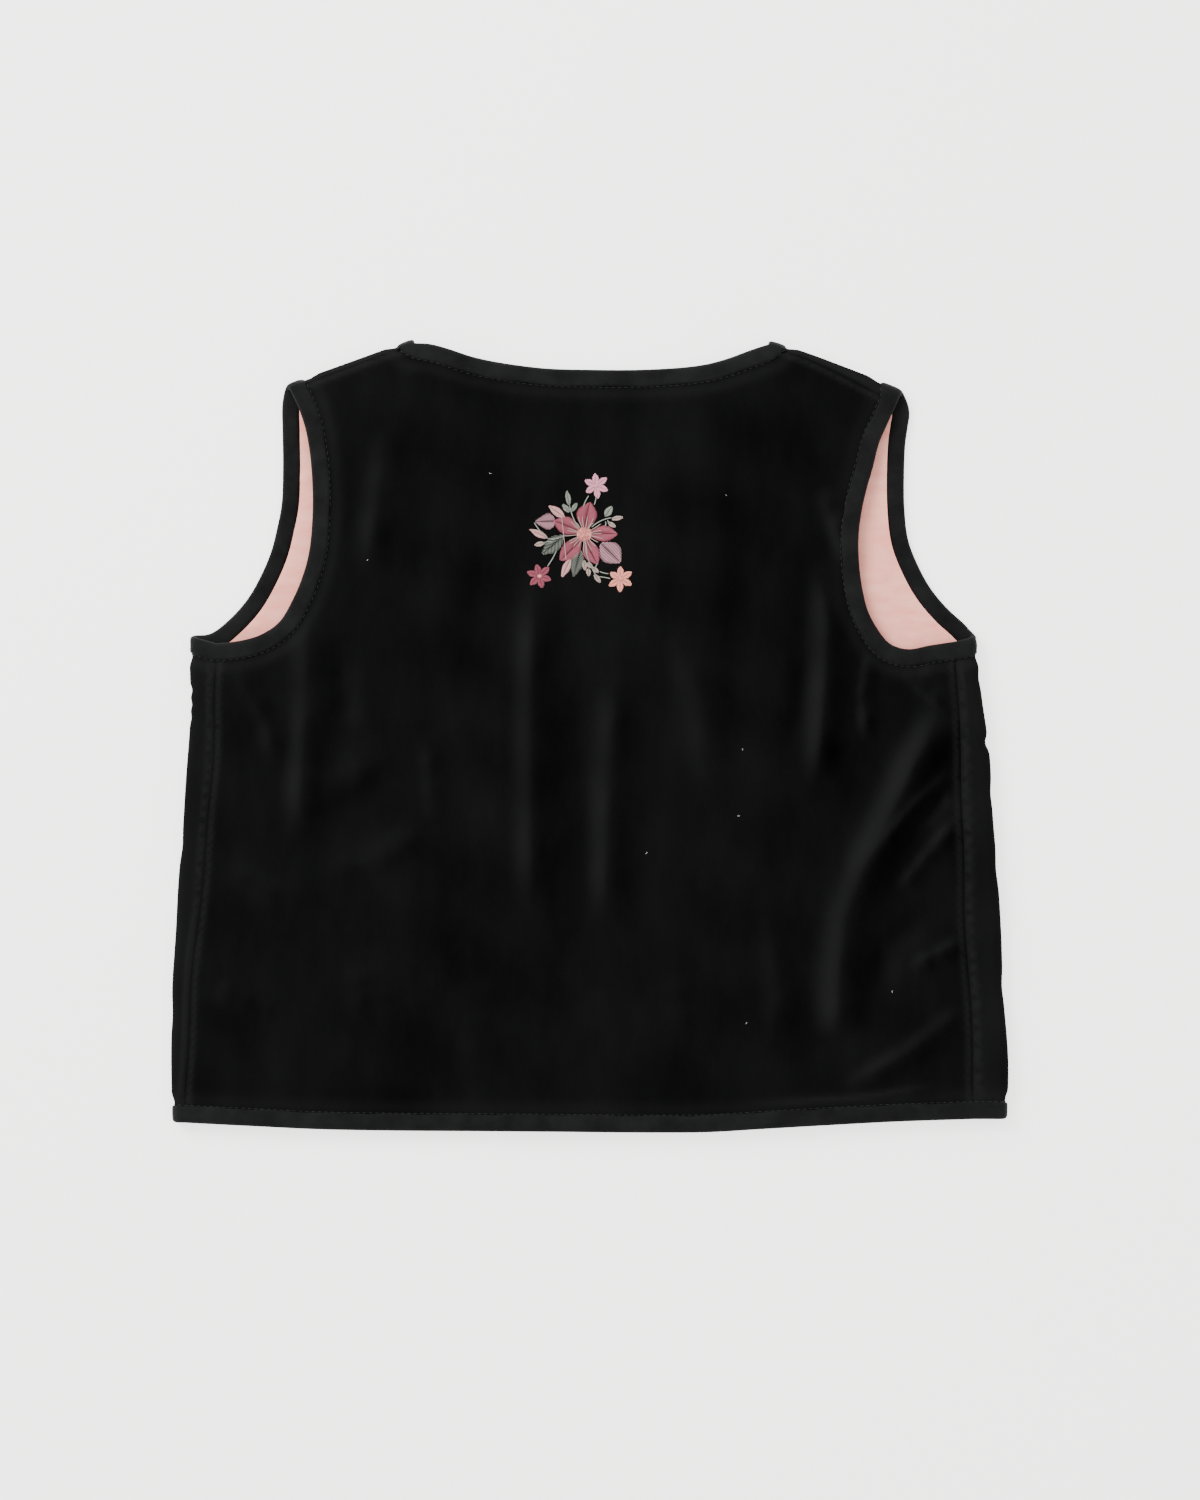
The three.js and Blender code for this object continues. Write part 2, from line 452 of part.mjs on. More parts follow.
// the panel's wall is pressed thin in its binding
const pressed = (n) => 1 - smooth(THIN_TO, THIN_END, n);
const EDGE_OFF = BIND_WALL + GAP;                                  // velvet edge inside the binding
function panel(name, edges, place, fields, material, kind) {
  const velvet = kind === 'velvet', near = distanceTo(edges);
  const insets = velvet ? [{ bound: EDGE_OFF, sewn: SEAM }, { bound: THIN_TO + 0.2, sewn: 8 }, { bound: THIN_END + 0.2, sewn: 15 }]
    : [{ bound: BIND_W + GAP, sewn: SEAM }, { bound: THIN_END + 0.2, sewn: 15 }];
  const extra = [];
  if (fields.ridges) {
    for (const r of RIDGES) {
      if (r.height < 1.5) continue;
      const len = Math.hypot(r.x1 - r.x0, r.y1 - r.y0), nx = -(r.y1 - r.y0) / len, ny = (r.x1 - r.x0) / len, k = Math.ceil(len / 20);
      for (const w of [0, -1, 1]) for (let i = 0; i <= k; i++) extra.push([lerp(r.x0, r.x1, i / k) + nx * w * r.half, lerp(r.y0, r.y1, i / k) + ny * w * r.half]);
    }
  }
  let mesh = flatMesh(edges, insets, fields.facet, extra);
  for (const level of fields.levels) mesh = cutMesh(mesh, fields.round, level);
  const depth = mesh.pts.map(([x, y]) => pressed(near(x, y)));
  const outer = velvet ? (v) => EDGE_OFF * depth[v] : (v) => VELVET + GAP + 0.35 * depth[v];
  const inner = velvet ? (v) => VELVET + 0.35 * depth[v] : (v) => VELVET + GAP + LINING + 0.35 * depth[v];
  const m = new THREE.Mesh(geometry(...wall(mesh, place, outer, inner)), material);
  m.name = name;
  return m;
}

// ---- binding strips: a strip folded over a free edge, U shaped across ----
const CLEAR = 0.14;                                                  // panels are trimmed back this far from a strip
const sizes = (grow) => ({                                           // in from the edge, and below the outer face
  across: [-grow, BIND_WALL + grow, BIND_W + grow],
  down: [-grow, BIND_WALL + grow, BIND_T - BIND_WALL - grow, BIND_T + grow],
});
// points of the back's upper face in the plane of the front they join
const viaSide = (s) => (x, y) => [s * (2 * (foldX(s, y) - FOLD_R) + Math.PI * ARC_R - s * x), y];
const viaShoulder = (s) => (x, y) => [x, 2 * (foldY(s, Math.abs(x)) - FOLD_R) + Math.PI * ARC_R - y];
const asIs = (x, y) => [x, y];
// where the neck edge turns at a shoulder seam the strip fans out: shares of the turn at the first stations
const FAN = [0.1, 0.4, 0.7];
const fanned = (p) => {
  const step = (a, b, d) => { const l = Math.hypot(b[0] - a[0], b[1] - a[1]); return [lerp(a[0], b[0], d / l), lerp(a[1], b[1], d / l)]; };
  return [p[0], step(p[0], p[1], 0.9), step(p[0], p[1], 1.8), step(p[0], p[1], 2.8), ...p.slice(1)];
};
const seamHeading = (s) => unit([s * 10, backShoulderSeam(s, neckTip[s] + 10) - backShoulderSeam(s, neckTip[s])]);
// stations along an edge; `into` is +1 when the cloth lies to the left of the way along
function stations(size, points, into, toPlane, ends = {}) {
  return points.map((q, i) => {
    const a = points[Math.max(0, i - 1)], b = points[Math.min(points.length - 1, i + 1)], l = Math.hypot(b[0] - a[0], b[1] - a[1]);
    let n = [-(b[1] - a[1]) / l * into, (b[0] - a[0]) / l * into];
    if (i === 0 && ends.start) n = ends.start;
    if (i === points.length - 1 && ends.end) n = ends.end;
    if (ends.fan && i < FAN.length) n = unit([lerp(ends.fan[0], n[0], FAN[i]), lerp(ends.fan[1], n[1], FAN[i])]);
    return size.across.map((w) => toPlane(q[0] + n[0] * w, q[1] + n[1] * w));
  });
}
// one closed strip from runs of stations, each in the plane of front s
function strip(name, size, runs, closed) {
  const at = [], tris = [];
  const ends = runs.map(({ s, rows }) => {
    let mesh = { pts: rows.flat(), tris: [] };
    for (let i = 0; i < rows.length - 1; i++) {
      for (let k = 0; k < 2; k++) {
        const a = i * 3 + k, b = a + 1, c = a + 3, d = c + 1;
        mesh.tris.push([a, c, d, k], [a, d, b, k]);
      }
    }
    for (const level of FOLDS) mesh = cutMesh(mesh, roundFront(s), level);
    const start = at.length;
    for (const q of mesh.pts) at.push([s, ...q]);
    for (const t of mesh.tris) tris.push([t[0] + start, t[1] + start, t[2] + start, t[3]]);
    return [start, start + (rows.length - 1) * 3];
  });
  for (let r = 0; r < (closed ? runs.length : runs.length - 1); r++) {
    const from = ends[r][1], to = ends[(r + 1) % runs.length][0];
    for (let k = 0; k < 2; k++) tris.push([from + k, to + k, to + k + 1, k], [from + k, to + k + 1, from + k + 1, k]);
  }
  const pos = at.flatMap(([s, x, y]) => size.down.flatMap((d) => foldFront(s, x, y, d))), idx = [];
  const v = (i, level) => i * 4 + level;
  const face = (t, level, flip) => idx.push(v(t[0], level), v(t[flip ? 2 : 1], level), v(t[flip ? 1 : 2], level));
  const upright = (p, q, level) => idx.push(v(q, level), v(p, level), v(p, level + 1), v(q, level), v(p, level + 1), v(q, level + 1));
  const edges = new Map();
  for (const t of tris) {
    face(t, 0, false);
    face(t, 3, true);
    if (t[3] === 1) { face(t, 1, true); face(t, 2, false); }
    for (const [p, q] of [[t[0], t[1]], [t[1], t[2]], [t[2], t[0]]]) edges.set(p + ',' + q, [p, q, t[3]]);
  }
  for (const [p, q, zone] of edges.values()) {
    const back = edges.get(q + ',' + p);
    if (!back) {
      upright(p, q, 0);
      upright(p, q, 2);
      if (zone === 0) upright(p, q, 1);
    } else if (zone === 0 && back[2] === 1) upright(p, q, 1);
  }
  const used = new Map(), kept = [];
  const ix = idx.map((i) => { if (!used.has(i)) { used.set(i, used.size); kept.push(pos[3 * i], pos[3 * i + 1], pos[3 * i + 2]); } return used.get(i); });
  const mesh = new THREE.Mesh(geometry(kept, ix), bindingMat());
  mesh.name = name;
  return mesh;
}
const trim = (pts, a, b) => {                                       // shorten a line at its two ends
  const p = pts.map((q) => [...q]);
  const cutEnd = (arr, d) => {
    while (arr.length > 2 && Math.hypot(arr[1][0] - arr[0][0], arr[1][1] - arr[0][1]) < d) { d -= Math.hypot(arr[1][0] - arr[0][0], arr[1][1] - arr[0][1]); arr.shift(); }
    const l = Math.hypot(arr[1][0] - arr[0][0], arr[1][1] - arr[0][1]);
    arr[0] = [lerp(arr[0][0], arr[1][0], d / l), lerp(arr[0][1], arr[1][1], d / l)];
  };
  if (a) cutEnd(p, a);
  p.reverse();
  if (b) cutEnd(p, b);
  return p.reverse();
};
// add stations where a line passes round a fold
function roundFold(points, field) {
  const levels = FOLDS, res = [points[0]];
  for (let i = 1; i < points.length; i++) {
    const P = points[i - 1], Q = points[i], f0 = field(...P), f1 = field(...Q), hits = [];
    for (const L of levels) {
      if ((f0 - L) * (f1 - L) < 0) {
        let lo = 0, hi = 1;
        for (let k = 0; k < 24; k++) { const m = (lo + hi) / 2; if ((field(lerp(P[0], Q[0], m), lerp(P[1], Q[1], m)) - L) * (f0 - L) > 0) lo = m; else hi = m; }
        hits.push(lo);
      }
    }
    hits.sort((a, b) => a - b);
    for (const h of hits) {
      const q = [lerp(P[0], Q[0], h), lerp(P[1], Q[1], h)], last = res[res.length - 1];
      if (Math.hypot(q[0] - last[0], q[1] - last[1]) > 0.4) res.push(q);
    }
    const last = res[res.length - 1];
    if (Math.hypot(Q[0] - last[0], Q[1] - last[1]) > 0.4 || i === points.length - 1) res.push(Q);
  }
  return res;
}
const frontPlace = (s) => (x, y, d) => foldFront(s, x, y, d);

function armholeBinding(s, size) {
  const up = armholeBack(s, ARM_STEP), low = trim(up.filter((q) => q[1] < SHOULDER_ZONE), 0.6, 0), high = trim(up.filter((q) => q[1] >= SHOULDER_ZONE), 0, 0.6);
  const down = trim(roundFold(armholeFront(s, ARM_STEP), roundFront(s)), 0.6, 0.6);
  return strip('binding_armhole_' + side(s).toLowerCase(), size, [{ s, rows: [
    ...stations(size, high, s, viaShoulder(s)), ...stations(size, down, -s, asIs), ...stations(size, low, s, viaSide(s))] }], true);
}
function miter(t1, t2, into) {                                      // width direction at a corner between two edges
  const n1 = [-t1[1] * into, t1[0] * into], n2 = [-t2[1] * into, t2[0] * into], k = 1 + n1[0] * n2[0] + n1[1] * n2[1];
  return [(n1[0] + n2[0]) / k, (n1[1] + n2[1]) / k];
}
const heading = (p, q) => unit([q[0] - p[0], q[1] - p[1]]);
// the corner at each front's V point and at its lower centre corner
function corners(s) {
  const neck = neckFront(s, STEP), cf = centreFront(s, 62), hem = hemFront(s, STEP);
  return {
    v: miter(heading(cf[0], cf[1]), heading(neck[0], neck[1]), -s),          // going up the front, then up the neck
    low: miter(heading(hem[1], hem[0]), heading(cf[0], cf[1]), -s),          // going in along the hem, then up the front
  };
}
function neckHalf(s, size) {                                         // from the V point, over the shoulder, to the middle of the back
  const all = neckBack(NECK_STEP), half = (s > 0 ? all : [...all].reverse()).filter((q) => s * q[0] > 3);
  return { s, rows: [...stations(size, trim(roundFold(neckFront(s, NECK_STEP), roundFront(s)), SEAM, 0.5), -s, asIs, { start: corners(s).v }),
    ...stations(size, fanned(trim(half, 0.5, 0)), s, viaShoulder(s), { fan: seamHeading(s) })] };
}
function hemHalf(s, size) {                                          // from the centre front, round the side, to the middle of the back
  const all = hemBack(STEP), half = (s < 0 ? all : [...all].reverse()).filter((q) => s * q[0] > 3);
  return { s, rows: [...stations(size, trim(roundFold(hemFront(s, STEP), roundFront(s)), SEAM, 0.5), s, asIs, { start: corners(s).low }),
    ...stations(size, trim(half, 0.5, 0), -s, viaSide(s))] };
}
const turned = ({ s, rows }) => ({ s, rows: [...rows].reverse() });
const neckBinding = (size) => strip('binding_neck', size, [neckHalf(1, size), turned(neckHalf(-1, size))], false);
const hemBinding = (size) => strip('binding_hem', size, [hemHalf(-1, size), turned(hemHalf(1, size))], false);
function frontBinding(s, size) {
  const c = corners(s);
  return strip('binding_front_' + side(s).toLowerCase(), size,
    [{ s, rows: stations(size, trim(centreFront(s, 62), SEAM, SEAM), -s, asIs, { start: c.low, end: c.v }) }], false);
}

// ---- the waistcoat ----
const wasm = await Module();
wasm.setup();
const toSolid = (g) => new wasm.Manifold(new wasm.Mesh({ numProp: 3,
  vertProperties: new Float32Array(g.attributes.position.array), triVerts: new Uint32Array(g.index.array) }));
// a panel trimmed clear of the strips that hold its edges
function trimmed(mesh, strips) {
  let m = toSolid(mesh.geometry);
  for (const k of strips) m = m.subtract(k);
  for (let pass = 0; pass < 2; pass++) {                             // drop crumbs, and join points closer than 2 microns
    const r = m.decompose().sort((a, b) => b.volume() - a.volume())[0].getMesh(), p = r.vertProperties, n = r.numProp, pos = [];
    for (let i = 0; i < p.length; i += n) pos.push(p[i], p[i + 1], p[i + 2]);
    const g = new THREE.BufferGeometry();
    g.setAttribute('position', new THREE.Float32BufferAttribute(pos, 3));
    g.setIndex([...r.triVerts]);
    const joined = mergeVertices(g, 2e-3), ix = joined.index.array, whole = [];
    for (let i = 0; i < ix.length; i += 3) if (ix[i] !== ix[i + 1] && ix[i + 1] !== ix[i + 2] && ix[i + 2] !== ix[i]) whole.push(ix[i], ix[i + 1], ix[i + 2]);
    mesh.geometry = geometry([...joined.attributes.position.array], whole);
    m = toSolid(mesh.geometry);
  }
  return mesh;
}
const waistcoat = new THREE.Group();
waistcoat.name = 'waistcoat';
const grown = sizes(CLEAR), actual = sizes(0);
const keep = {
  arm: { [-1]: toSolid(armholeBinding(-1, grown).geometry), [1]: toSolid(armholeBinding(1, grown).geometry) },
  front: { [-1]: toSolid(frontBinding(-1, grown).geometry), [1]: toSolid(frontBinding(1, grown).geometry) },
  neck: toSolid(neckBinding(grown).geometry), hem: toSolid(hemBinding(grown).geometry),
};
const back = panel('back_panel', backEdges(), foldBack, { round: roundBack, levels: [0], ridges: true, facet: FACET }, velvetMat(), 'velvet');
waistcoat.add(trimmed(back, [keep.arm[-1], keep.arm[1], keep.neck, keep.hem]));
for (const kind of ['velvet', 'lining']) {
  const velvet = kind === 'velvet', mat = velvet ? velvetMat : liningMat;
  for (const s of [-1, 1]) {
    const front = panel((velvet ? 'front_' : 'lining_front_') + side(s).toLowerCase(), frontEdges(s), frontPlace(s),
      { round: roundFront(s), levels: FOLDS, facet: FLAT_FACET }, mat(), kind);
    waistcoat.add(trimmed(front, [keep.arm[s], keep.front[s], keep.neck, keep.hem]));
  }
}
waistcoat.add(armholeBinding(-1, actual), armholeBinding(1, actual), neckBinding(actual),
  frontBinding(-1, actual), frontBinding(1, actual), hemBinding(actual));
export default waistcoat;
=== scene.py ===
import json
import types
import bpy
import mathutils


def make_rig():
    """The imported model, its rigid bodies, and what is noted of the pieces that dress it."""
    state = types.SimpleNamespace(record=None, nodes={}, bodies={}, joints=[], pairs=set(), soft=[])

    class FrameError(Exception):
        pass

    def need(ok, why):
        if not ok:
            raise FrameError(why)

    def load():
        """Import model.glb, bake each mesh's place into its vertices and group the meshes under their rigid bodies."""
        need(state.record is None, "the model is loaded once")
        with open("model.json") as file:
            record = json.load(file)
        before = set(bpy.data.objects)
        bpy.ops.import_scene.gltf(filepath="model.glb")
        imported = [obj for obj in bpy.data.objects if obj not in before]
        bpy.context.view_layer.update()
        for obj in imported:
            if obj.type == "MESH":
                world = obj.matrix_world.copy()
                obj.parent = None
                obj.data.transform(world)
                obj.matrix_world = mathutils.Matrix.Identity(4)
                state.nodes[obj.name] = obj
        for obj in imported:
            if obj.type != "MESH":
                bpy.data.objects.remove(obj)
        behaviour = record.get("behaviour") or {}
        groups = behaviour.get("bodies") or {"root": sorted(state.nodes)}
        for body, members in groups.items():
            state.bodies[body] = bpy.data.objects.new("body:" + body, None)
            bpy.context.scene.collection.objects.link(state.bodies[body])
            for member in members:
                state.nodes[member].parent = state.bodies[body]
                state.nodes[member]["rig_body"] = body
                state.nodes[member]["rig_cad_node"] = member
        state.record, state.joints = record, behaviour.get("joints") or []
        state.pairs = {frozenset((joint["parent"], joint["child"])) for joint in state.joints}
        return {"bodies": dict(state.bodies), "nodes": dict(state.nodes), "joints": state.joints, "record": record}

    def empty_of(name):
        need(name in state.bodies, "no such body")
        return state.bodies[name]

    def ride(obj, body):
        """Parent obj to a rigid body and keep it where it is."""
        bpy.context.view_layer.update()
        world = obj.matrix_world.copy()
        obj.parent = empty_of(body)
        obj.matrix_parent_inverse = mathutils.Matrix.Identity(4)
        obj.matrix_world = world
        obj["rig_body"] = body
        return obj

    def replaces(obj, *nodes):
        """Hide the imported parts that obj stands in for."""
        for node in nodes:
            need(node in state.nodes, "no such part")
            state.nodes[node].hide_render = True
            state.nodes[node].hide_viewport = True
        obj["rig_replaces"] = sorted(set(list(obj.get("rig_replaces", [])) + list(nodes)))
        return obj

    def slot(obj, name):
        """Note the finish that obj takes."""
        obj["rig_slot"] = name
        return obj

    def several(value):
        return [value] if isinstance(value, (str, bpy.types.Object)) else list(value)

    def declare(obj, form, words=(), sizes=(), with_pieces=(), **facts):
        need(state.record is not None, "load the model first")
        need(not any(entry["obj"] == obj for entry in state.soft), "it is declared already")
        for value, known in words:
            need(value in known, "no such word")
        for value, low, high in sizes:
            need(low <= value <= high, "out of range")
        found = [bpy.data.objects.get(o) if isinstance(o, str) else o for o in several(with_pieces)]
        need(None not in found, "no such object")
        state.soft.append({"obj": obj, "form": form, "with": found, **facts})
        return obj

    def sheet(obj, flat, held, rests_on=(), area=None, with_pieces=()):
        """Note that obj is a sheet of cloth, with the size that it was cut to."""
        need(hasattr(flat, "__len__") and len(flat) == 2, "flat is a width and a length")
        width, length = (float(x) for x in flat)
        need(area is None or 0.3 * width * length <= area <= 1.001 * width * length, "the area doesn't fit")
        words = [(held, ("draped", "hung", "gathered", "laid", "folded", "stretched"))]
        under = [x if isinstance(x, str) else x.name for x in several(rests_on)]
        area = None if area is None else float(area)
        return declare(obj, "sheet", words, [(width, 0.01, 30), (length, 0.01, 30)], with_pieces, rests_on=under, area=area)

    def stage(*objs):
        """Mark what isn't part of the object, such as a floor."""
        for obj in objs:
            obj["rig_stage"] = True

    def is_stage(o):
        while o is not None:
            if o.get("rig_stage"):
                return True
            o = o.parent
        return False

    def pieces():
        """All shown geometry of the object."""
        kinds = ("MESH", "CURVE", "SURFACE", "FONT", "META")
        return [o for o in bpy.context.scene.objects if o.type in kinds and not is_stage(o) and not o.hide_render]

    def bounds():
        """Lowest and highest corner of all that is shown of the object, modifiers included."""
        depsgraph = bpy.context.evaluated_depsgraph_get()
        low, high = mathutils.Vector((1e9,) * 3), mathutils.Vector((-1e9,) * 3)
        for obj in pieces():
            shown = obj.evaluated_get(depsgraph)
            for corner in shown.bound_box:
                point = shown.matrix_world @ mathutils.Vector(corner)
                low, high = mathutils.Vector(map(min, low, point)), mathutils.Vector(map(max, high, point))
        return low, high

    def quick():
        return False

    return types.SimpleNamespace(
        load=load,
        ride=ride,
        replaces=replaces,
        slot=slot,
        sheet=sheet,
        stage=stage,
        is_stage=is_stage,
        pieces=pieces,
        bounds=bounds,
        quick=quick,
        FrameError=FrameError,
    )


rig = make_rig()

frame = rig.load()
# A child's velvet waistcoat lying flat on its front, back up. Cloth is laid out in each panel's
# own plane in millimetres, folded round the side and shoulder folds, then set down in metres.
import json
import math
import bpy
import numpy as np
from mathutils import Vector
from mathutils.geometry import delaunay_2d_cdt

size_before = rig.bounds()
rng = np.random.default_rng(11)

# ---------------------------------------------------------------- camera
cam_data = bpy.data.cameras.new("camera")
cam_data.lens = 100.0
cam_data.sensor_width = 36.0
cam_data.dof.use_dof = False
cam = bpy.data.objects.new("camera", cam_data)
bpy.context.scene.collection.objects.link(cam)
cam.location = (0.0049, -0.0066, 1.966)
cam.rotation_euler = (0.0, 0.0, 0.0)
bpy.context.scene.camera = cam

# ---------------------------------------------------------------- sizes (mm)
VELVET, LINING, GAP, FOLD_R, ARC_R = 2.0, 1.0, 0.3, 4.2, 3.2
BIND_W, BIND_T = 8.0, 3.6
THIN_TO, THIN_END, SEAM, ZONE, CF = 9.0, 14.5, 0.15, 105.0, 0.9
TOP = 2 * FOLD_R
SAG = TOP - BIND_T - 0.1
PUFF, EDGE_OFF, V_POINT = 0.6, 1.25, 68.6
SIDE = np.array([
    [60.0, 188.2, 181.6, 175.0, 171.2], [45.1, 188.2, 182.4, 175.1, 171.8], [16.9, 188.0, 184.9, 176.5, 173.2],
    [-11.3, 189.6, 188.5, 177.4, 174.4], [-44.2, 191.5, 190.6, 179.8, 175.5], [-77.1, 194.3, 192.9, 183.1, 176.0],
    [-114.7, 196.2, 194.8, 187.1, 178.4], [-152.3, 197.2, 196.9, 189.4, 180.2], [-190.0, 196.2, 196.7, 191.3, 180.8]])
SHOULDER = {
    -1: np.array([[84.4, 186.6, 1.9], [103.2, 179.8, 1.9], [122.0, 173.0, 2.1], [143.6, 165.4, 2.6]]),
    1: np.array([[85.8, 186.1, 1.9], [103.6, 180.2, 3.0], [122.4, 173.0, 5.2], [141.2, 165.6, 7.4], [149.2, 162.3, 8.2]])}
BACK_NECK = [[-75, 184.4], [-65.6, 181.9], [-56.2, 178.8], [-46.8, 176.7], [-32.7, 174.6], [-18.6, 173.2], [0.2, 172.7],
             [19, 172.6], [33.1, 173], [47.2, 173.9], [56.6, 175.3], [66, 177.9], [75.4, 181.4]]
HEM = [[-191.1, -181.9], [-159.6, -183.5], [-128, -185.0], [-90, -185.7], [-56.2, -185.9], [-18.6, -186.2],
       [28.4, -186.6], [56, -186.4], [80.1, -185.0], [113, -183.1], [145, -181.4], [180.7, -180.2]]
ARM_BACK = {
    -1: [[-165.2, 44.6], [-154.9, 47.5], [-145.9, 53.6], [-139.4, 64.4], [-134.7, 75.7], [-131.8, 86.9], [-130.4, 101],
         [-130.2, 115.1], [-131.4, 132.1], [-133.6, 144.5], [-137, 154.6]],
    1: [[160, 42.6], [149.5, 40.8], [141.2, 43.4], [135.8, 49.6], [130.9, 58.8], [128.1, 70], [126.7, 81.3], [126.4, 92.6],
        [127.6, 103.9], [130, 115.1], [133.2, 126.4], [136.1, 137.7], [139.8, 146.2]]}
ARM_FRONT = {
    -1: [[144.9, 156], [144.8, 143.3], [144.6, 126.4], [145.2, 109.5], [147.3, 98.2], [150.2, 86.9], [154.9, 75.7],
         [161.4, 64.4], [170.4, 54.4], [179.0, 48.2]],
    1: [[150.8, 153], [149.9, 145], [148.9, 137.7], [148.3, 123.6], [148.5, 106.7], [150.2, 92.6], [154.4, 81.3],
        [160.5, 70], [168.4, 60.4], [175.2, 54.2]]}
FRONT_NECK = [[80.6, 171.1], [68.8, 143.8], [49.0, 110.9], [24.4, 84.6]]
HEM_SEAM = {-1: -181.9, 1: -180.2}
UNDERARM = {-1: 43.5, 1: 44.4}
ARM_TIP = {-1: 141.2, 1: 144.6}
NECK_TIP = {-1: 82.6, 1: 84.2}

# soft folds of the upper cloth: way along, height at its middle, half width on its left and right, share of
# its length over which each end fades
CREASES = [
    ([(168.5, 16.0), (154.0, -12.0), (141.2, -39.5), (129.0, -64.0), (120.6, -86.5), (117.9, -112.0), (117.7, -145.0)], 2.7, 9.0, 13.5, 0.12),
    ([(108.6, 84.0), (112.8, 52.0), (110.2, 12.0), (106.0, -32.0)], 1.5, 6.5, 11.0, 0.25),
    ([(102.0, 76.0), (101.0, 34.0), (97.0, -10.0)], -0.55, 7.0, 8.0, 0.3),
    ([(109.3, 117.5), (116.0, 100.0), (126.0, 74.0)], 0.9, 5.0, 6.5, 0.3),
    ([(-24.8, 84.0), (-26.8, 12.0), (-26.1, -92.0)], 1.5, 8.0, 13.0, 0.25),
    ([(-2.0, 40.0), (-4.5, -20.0), (-3.0, -70.0)], -0.45, 11.0, 11.0, 0.4),
    ([(14.2, 34.0), (10.0, -20.0), (7.6, -96.0)], 1.4, 8.0, 12.0, 0.25),
    ([(-130.5, 66.0), (-132.6, 10.0), (-136.2, -56.0)], 1.4, 8.0, 12.0, 0.3),
    ([(-117.0, 50.0), (-114.0, -10.0)], -0.6, 8.0, 9.0, 0.4),
    ([(140.0, 37.0), (156.0, 31.0), (170.0, 28.0)], 0.55, 3.0, 4.5, 0.3),
    ([(133.0, 42.0), (129.0, 20.0), (131.0, -6.0)], 0.7, 4.0, 6.0, 0.3),
    ([(147.0, 31.0), (160.0, 19.0), (172.0, 9.0)], 0.6, 3.5, 5.0, 0.3),
    ([(-76.0, 6.0), (-72.0, -44.0)], 0.6, 6.0, 8.0, 0.4),
    ([(-142.0, -38.0), (-112.0, -22.0), (-88.0, -2.0)], 0.8, 9.0, 12.0, 0.35),
    ([(-130.0, -66.0), (-98.0, -58.0), (-70.0, -40.0)], 0.6, 8.0, 10.0, 0.35),
    ([(36.0, 62.0), (52.0, 20.0), (58.0, -34.0)], 0.7, 9.0, 12.0, 0.35),
    ([(-93.0, 150.0), (-98.6, 112.0), (-104.0, 70.0)], 0.9, 7.0, 10.0, 0.35),
    ([(-63.0, 150.0), (-66.0, 60.0), (-61.0, -20.0)], 0.4, 12.0, 16.0, 0.4),
    ([(58.0, 150.0), (62.0, 90.0), (57.0, 10.0), (60.0, -60.0)], 0.45, 14.0, 12.0, 0.4),
    ([(173.5, -14.0), (153.0, -33.0), (131.0, -59.0)], 0.85, 4.2, 6.5, 0.25),
    ([(175.0, -37.0), (161.0, -54.0), (145.0, -73.5)], 0.75, 4.0, 6.0, 0.25),
    ([(169.0, -25.0), (156.0, -42.0)], -0.5, 4.0, 5.0, 0.3),
    ([(176.0, -96.0), (163.0, -103.0), (150.0, -109.5)], 0.7, 4.0, 6.0, 0.3),
    ([(178.0, -127.0), (150.0, -149.0), (117.0, -168.5)], 0.9, 5.5, 8.0, 0.25),
    ([(172.0, -71.0), (140.0, -100.0), (134.0, -132.0)], -0.6, 8.0, 10.0, 0.35),
    ([(-178.0, -60.0), (-150.0, -74.0), (-120.0, -80.0)], 0.5, 7.0, 9.0, 0.35),
    ([(-184.0, -118.0), (-158.0, -127.0), (-141.0, -130.0)], 0.45, 6.0, 9.0, 0.35),
    ([(-168.0, 36.0), (-150.0, 6.0), (-146.0, -20.0)], 0.6, 6.0, 9.0, 0.3),
    ([(-110.0, -100.0), (-104.0, -140.0)], 0.4, 9.0, 12.0, 0.4),
    ([(40.0, -96.0), (46.0, -150.0)], 0.45, 10.0, 13.0, 0.4),
    ([(84.0, -70.0), (90.0, -120.0), (86.0, -158.0)], 0.6, 8.0, 11.0, 0.35),
    ([(-56.0, -110.0), (-50.0, -160.0)], 0.35, 10.0, 13.0, 0.4),
]
# folds of the fronts where they lie on the table: they stand a little up off it
UNDER = [
    ([(60.0, 60.0), (70.0, 0.0), (58.0, -80.0)], 1.1, 9.0, 12.0, 0.3),
    ([(120.0, 30.0), (112.0, -30.0), (124.0, -100.0)], 1.3, 8.0, 12.0, 0.3),
    ([(30.0, -20.0), (36.0, -90.0), (28.0, -140.0)], 0.8, 8.0, 10.0, 0.35),
    ([(160.0, 10.0), (142.0, -20.0), (136.0, -60.0)], 1.0, 6.0, 9.0, 0.3),
    ([(92.0, 140.0), (88.0, 100.0), (98.0, 60.0)], 0.7, 7.0, 9.0, 0.35),
    ([(150.0, -90.0), (120.0, -130.0), (96.0, -150.0)], 1.0, 6.0, 9.0, 0.3),
]
# dents of the side folds: height, depth, half width
DENTS = {-1: [(21.4, 0.9, 2.6), (14.8, 0.8, 2.2), (8.6, 0.6, 2.6), (-52.0, 0.5, 6.0), (-131.0, 0.6, 8.0)],
         1: [(-3.2, 1.5, 3.2), (-27.0, 0.5, 5.0), (-63.0, 0.6, 7.0), (-118.0, 0.5, 6.0), (27.0, 0.5, 4.0)]}


def smooth(a, b, v):
    t = np.clip((np.asarray(v, float) - a) / (b - a), 0.0, 1.0)
    return t * t * (3 - 2 * t)


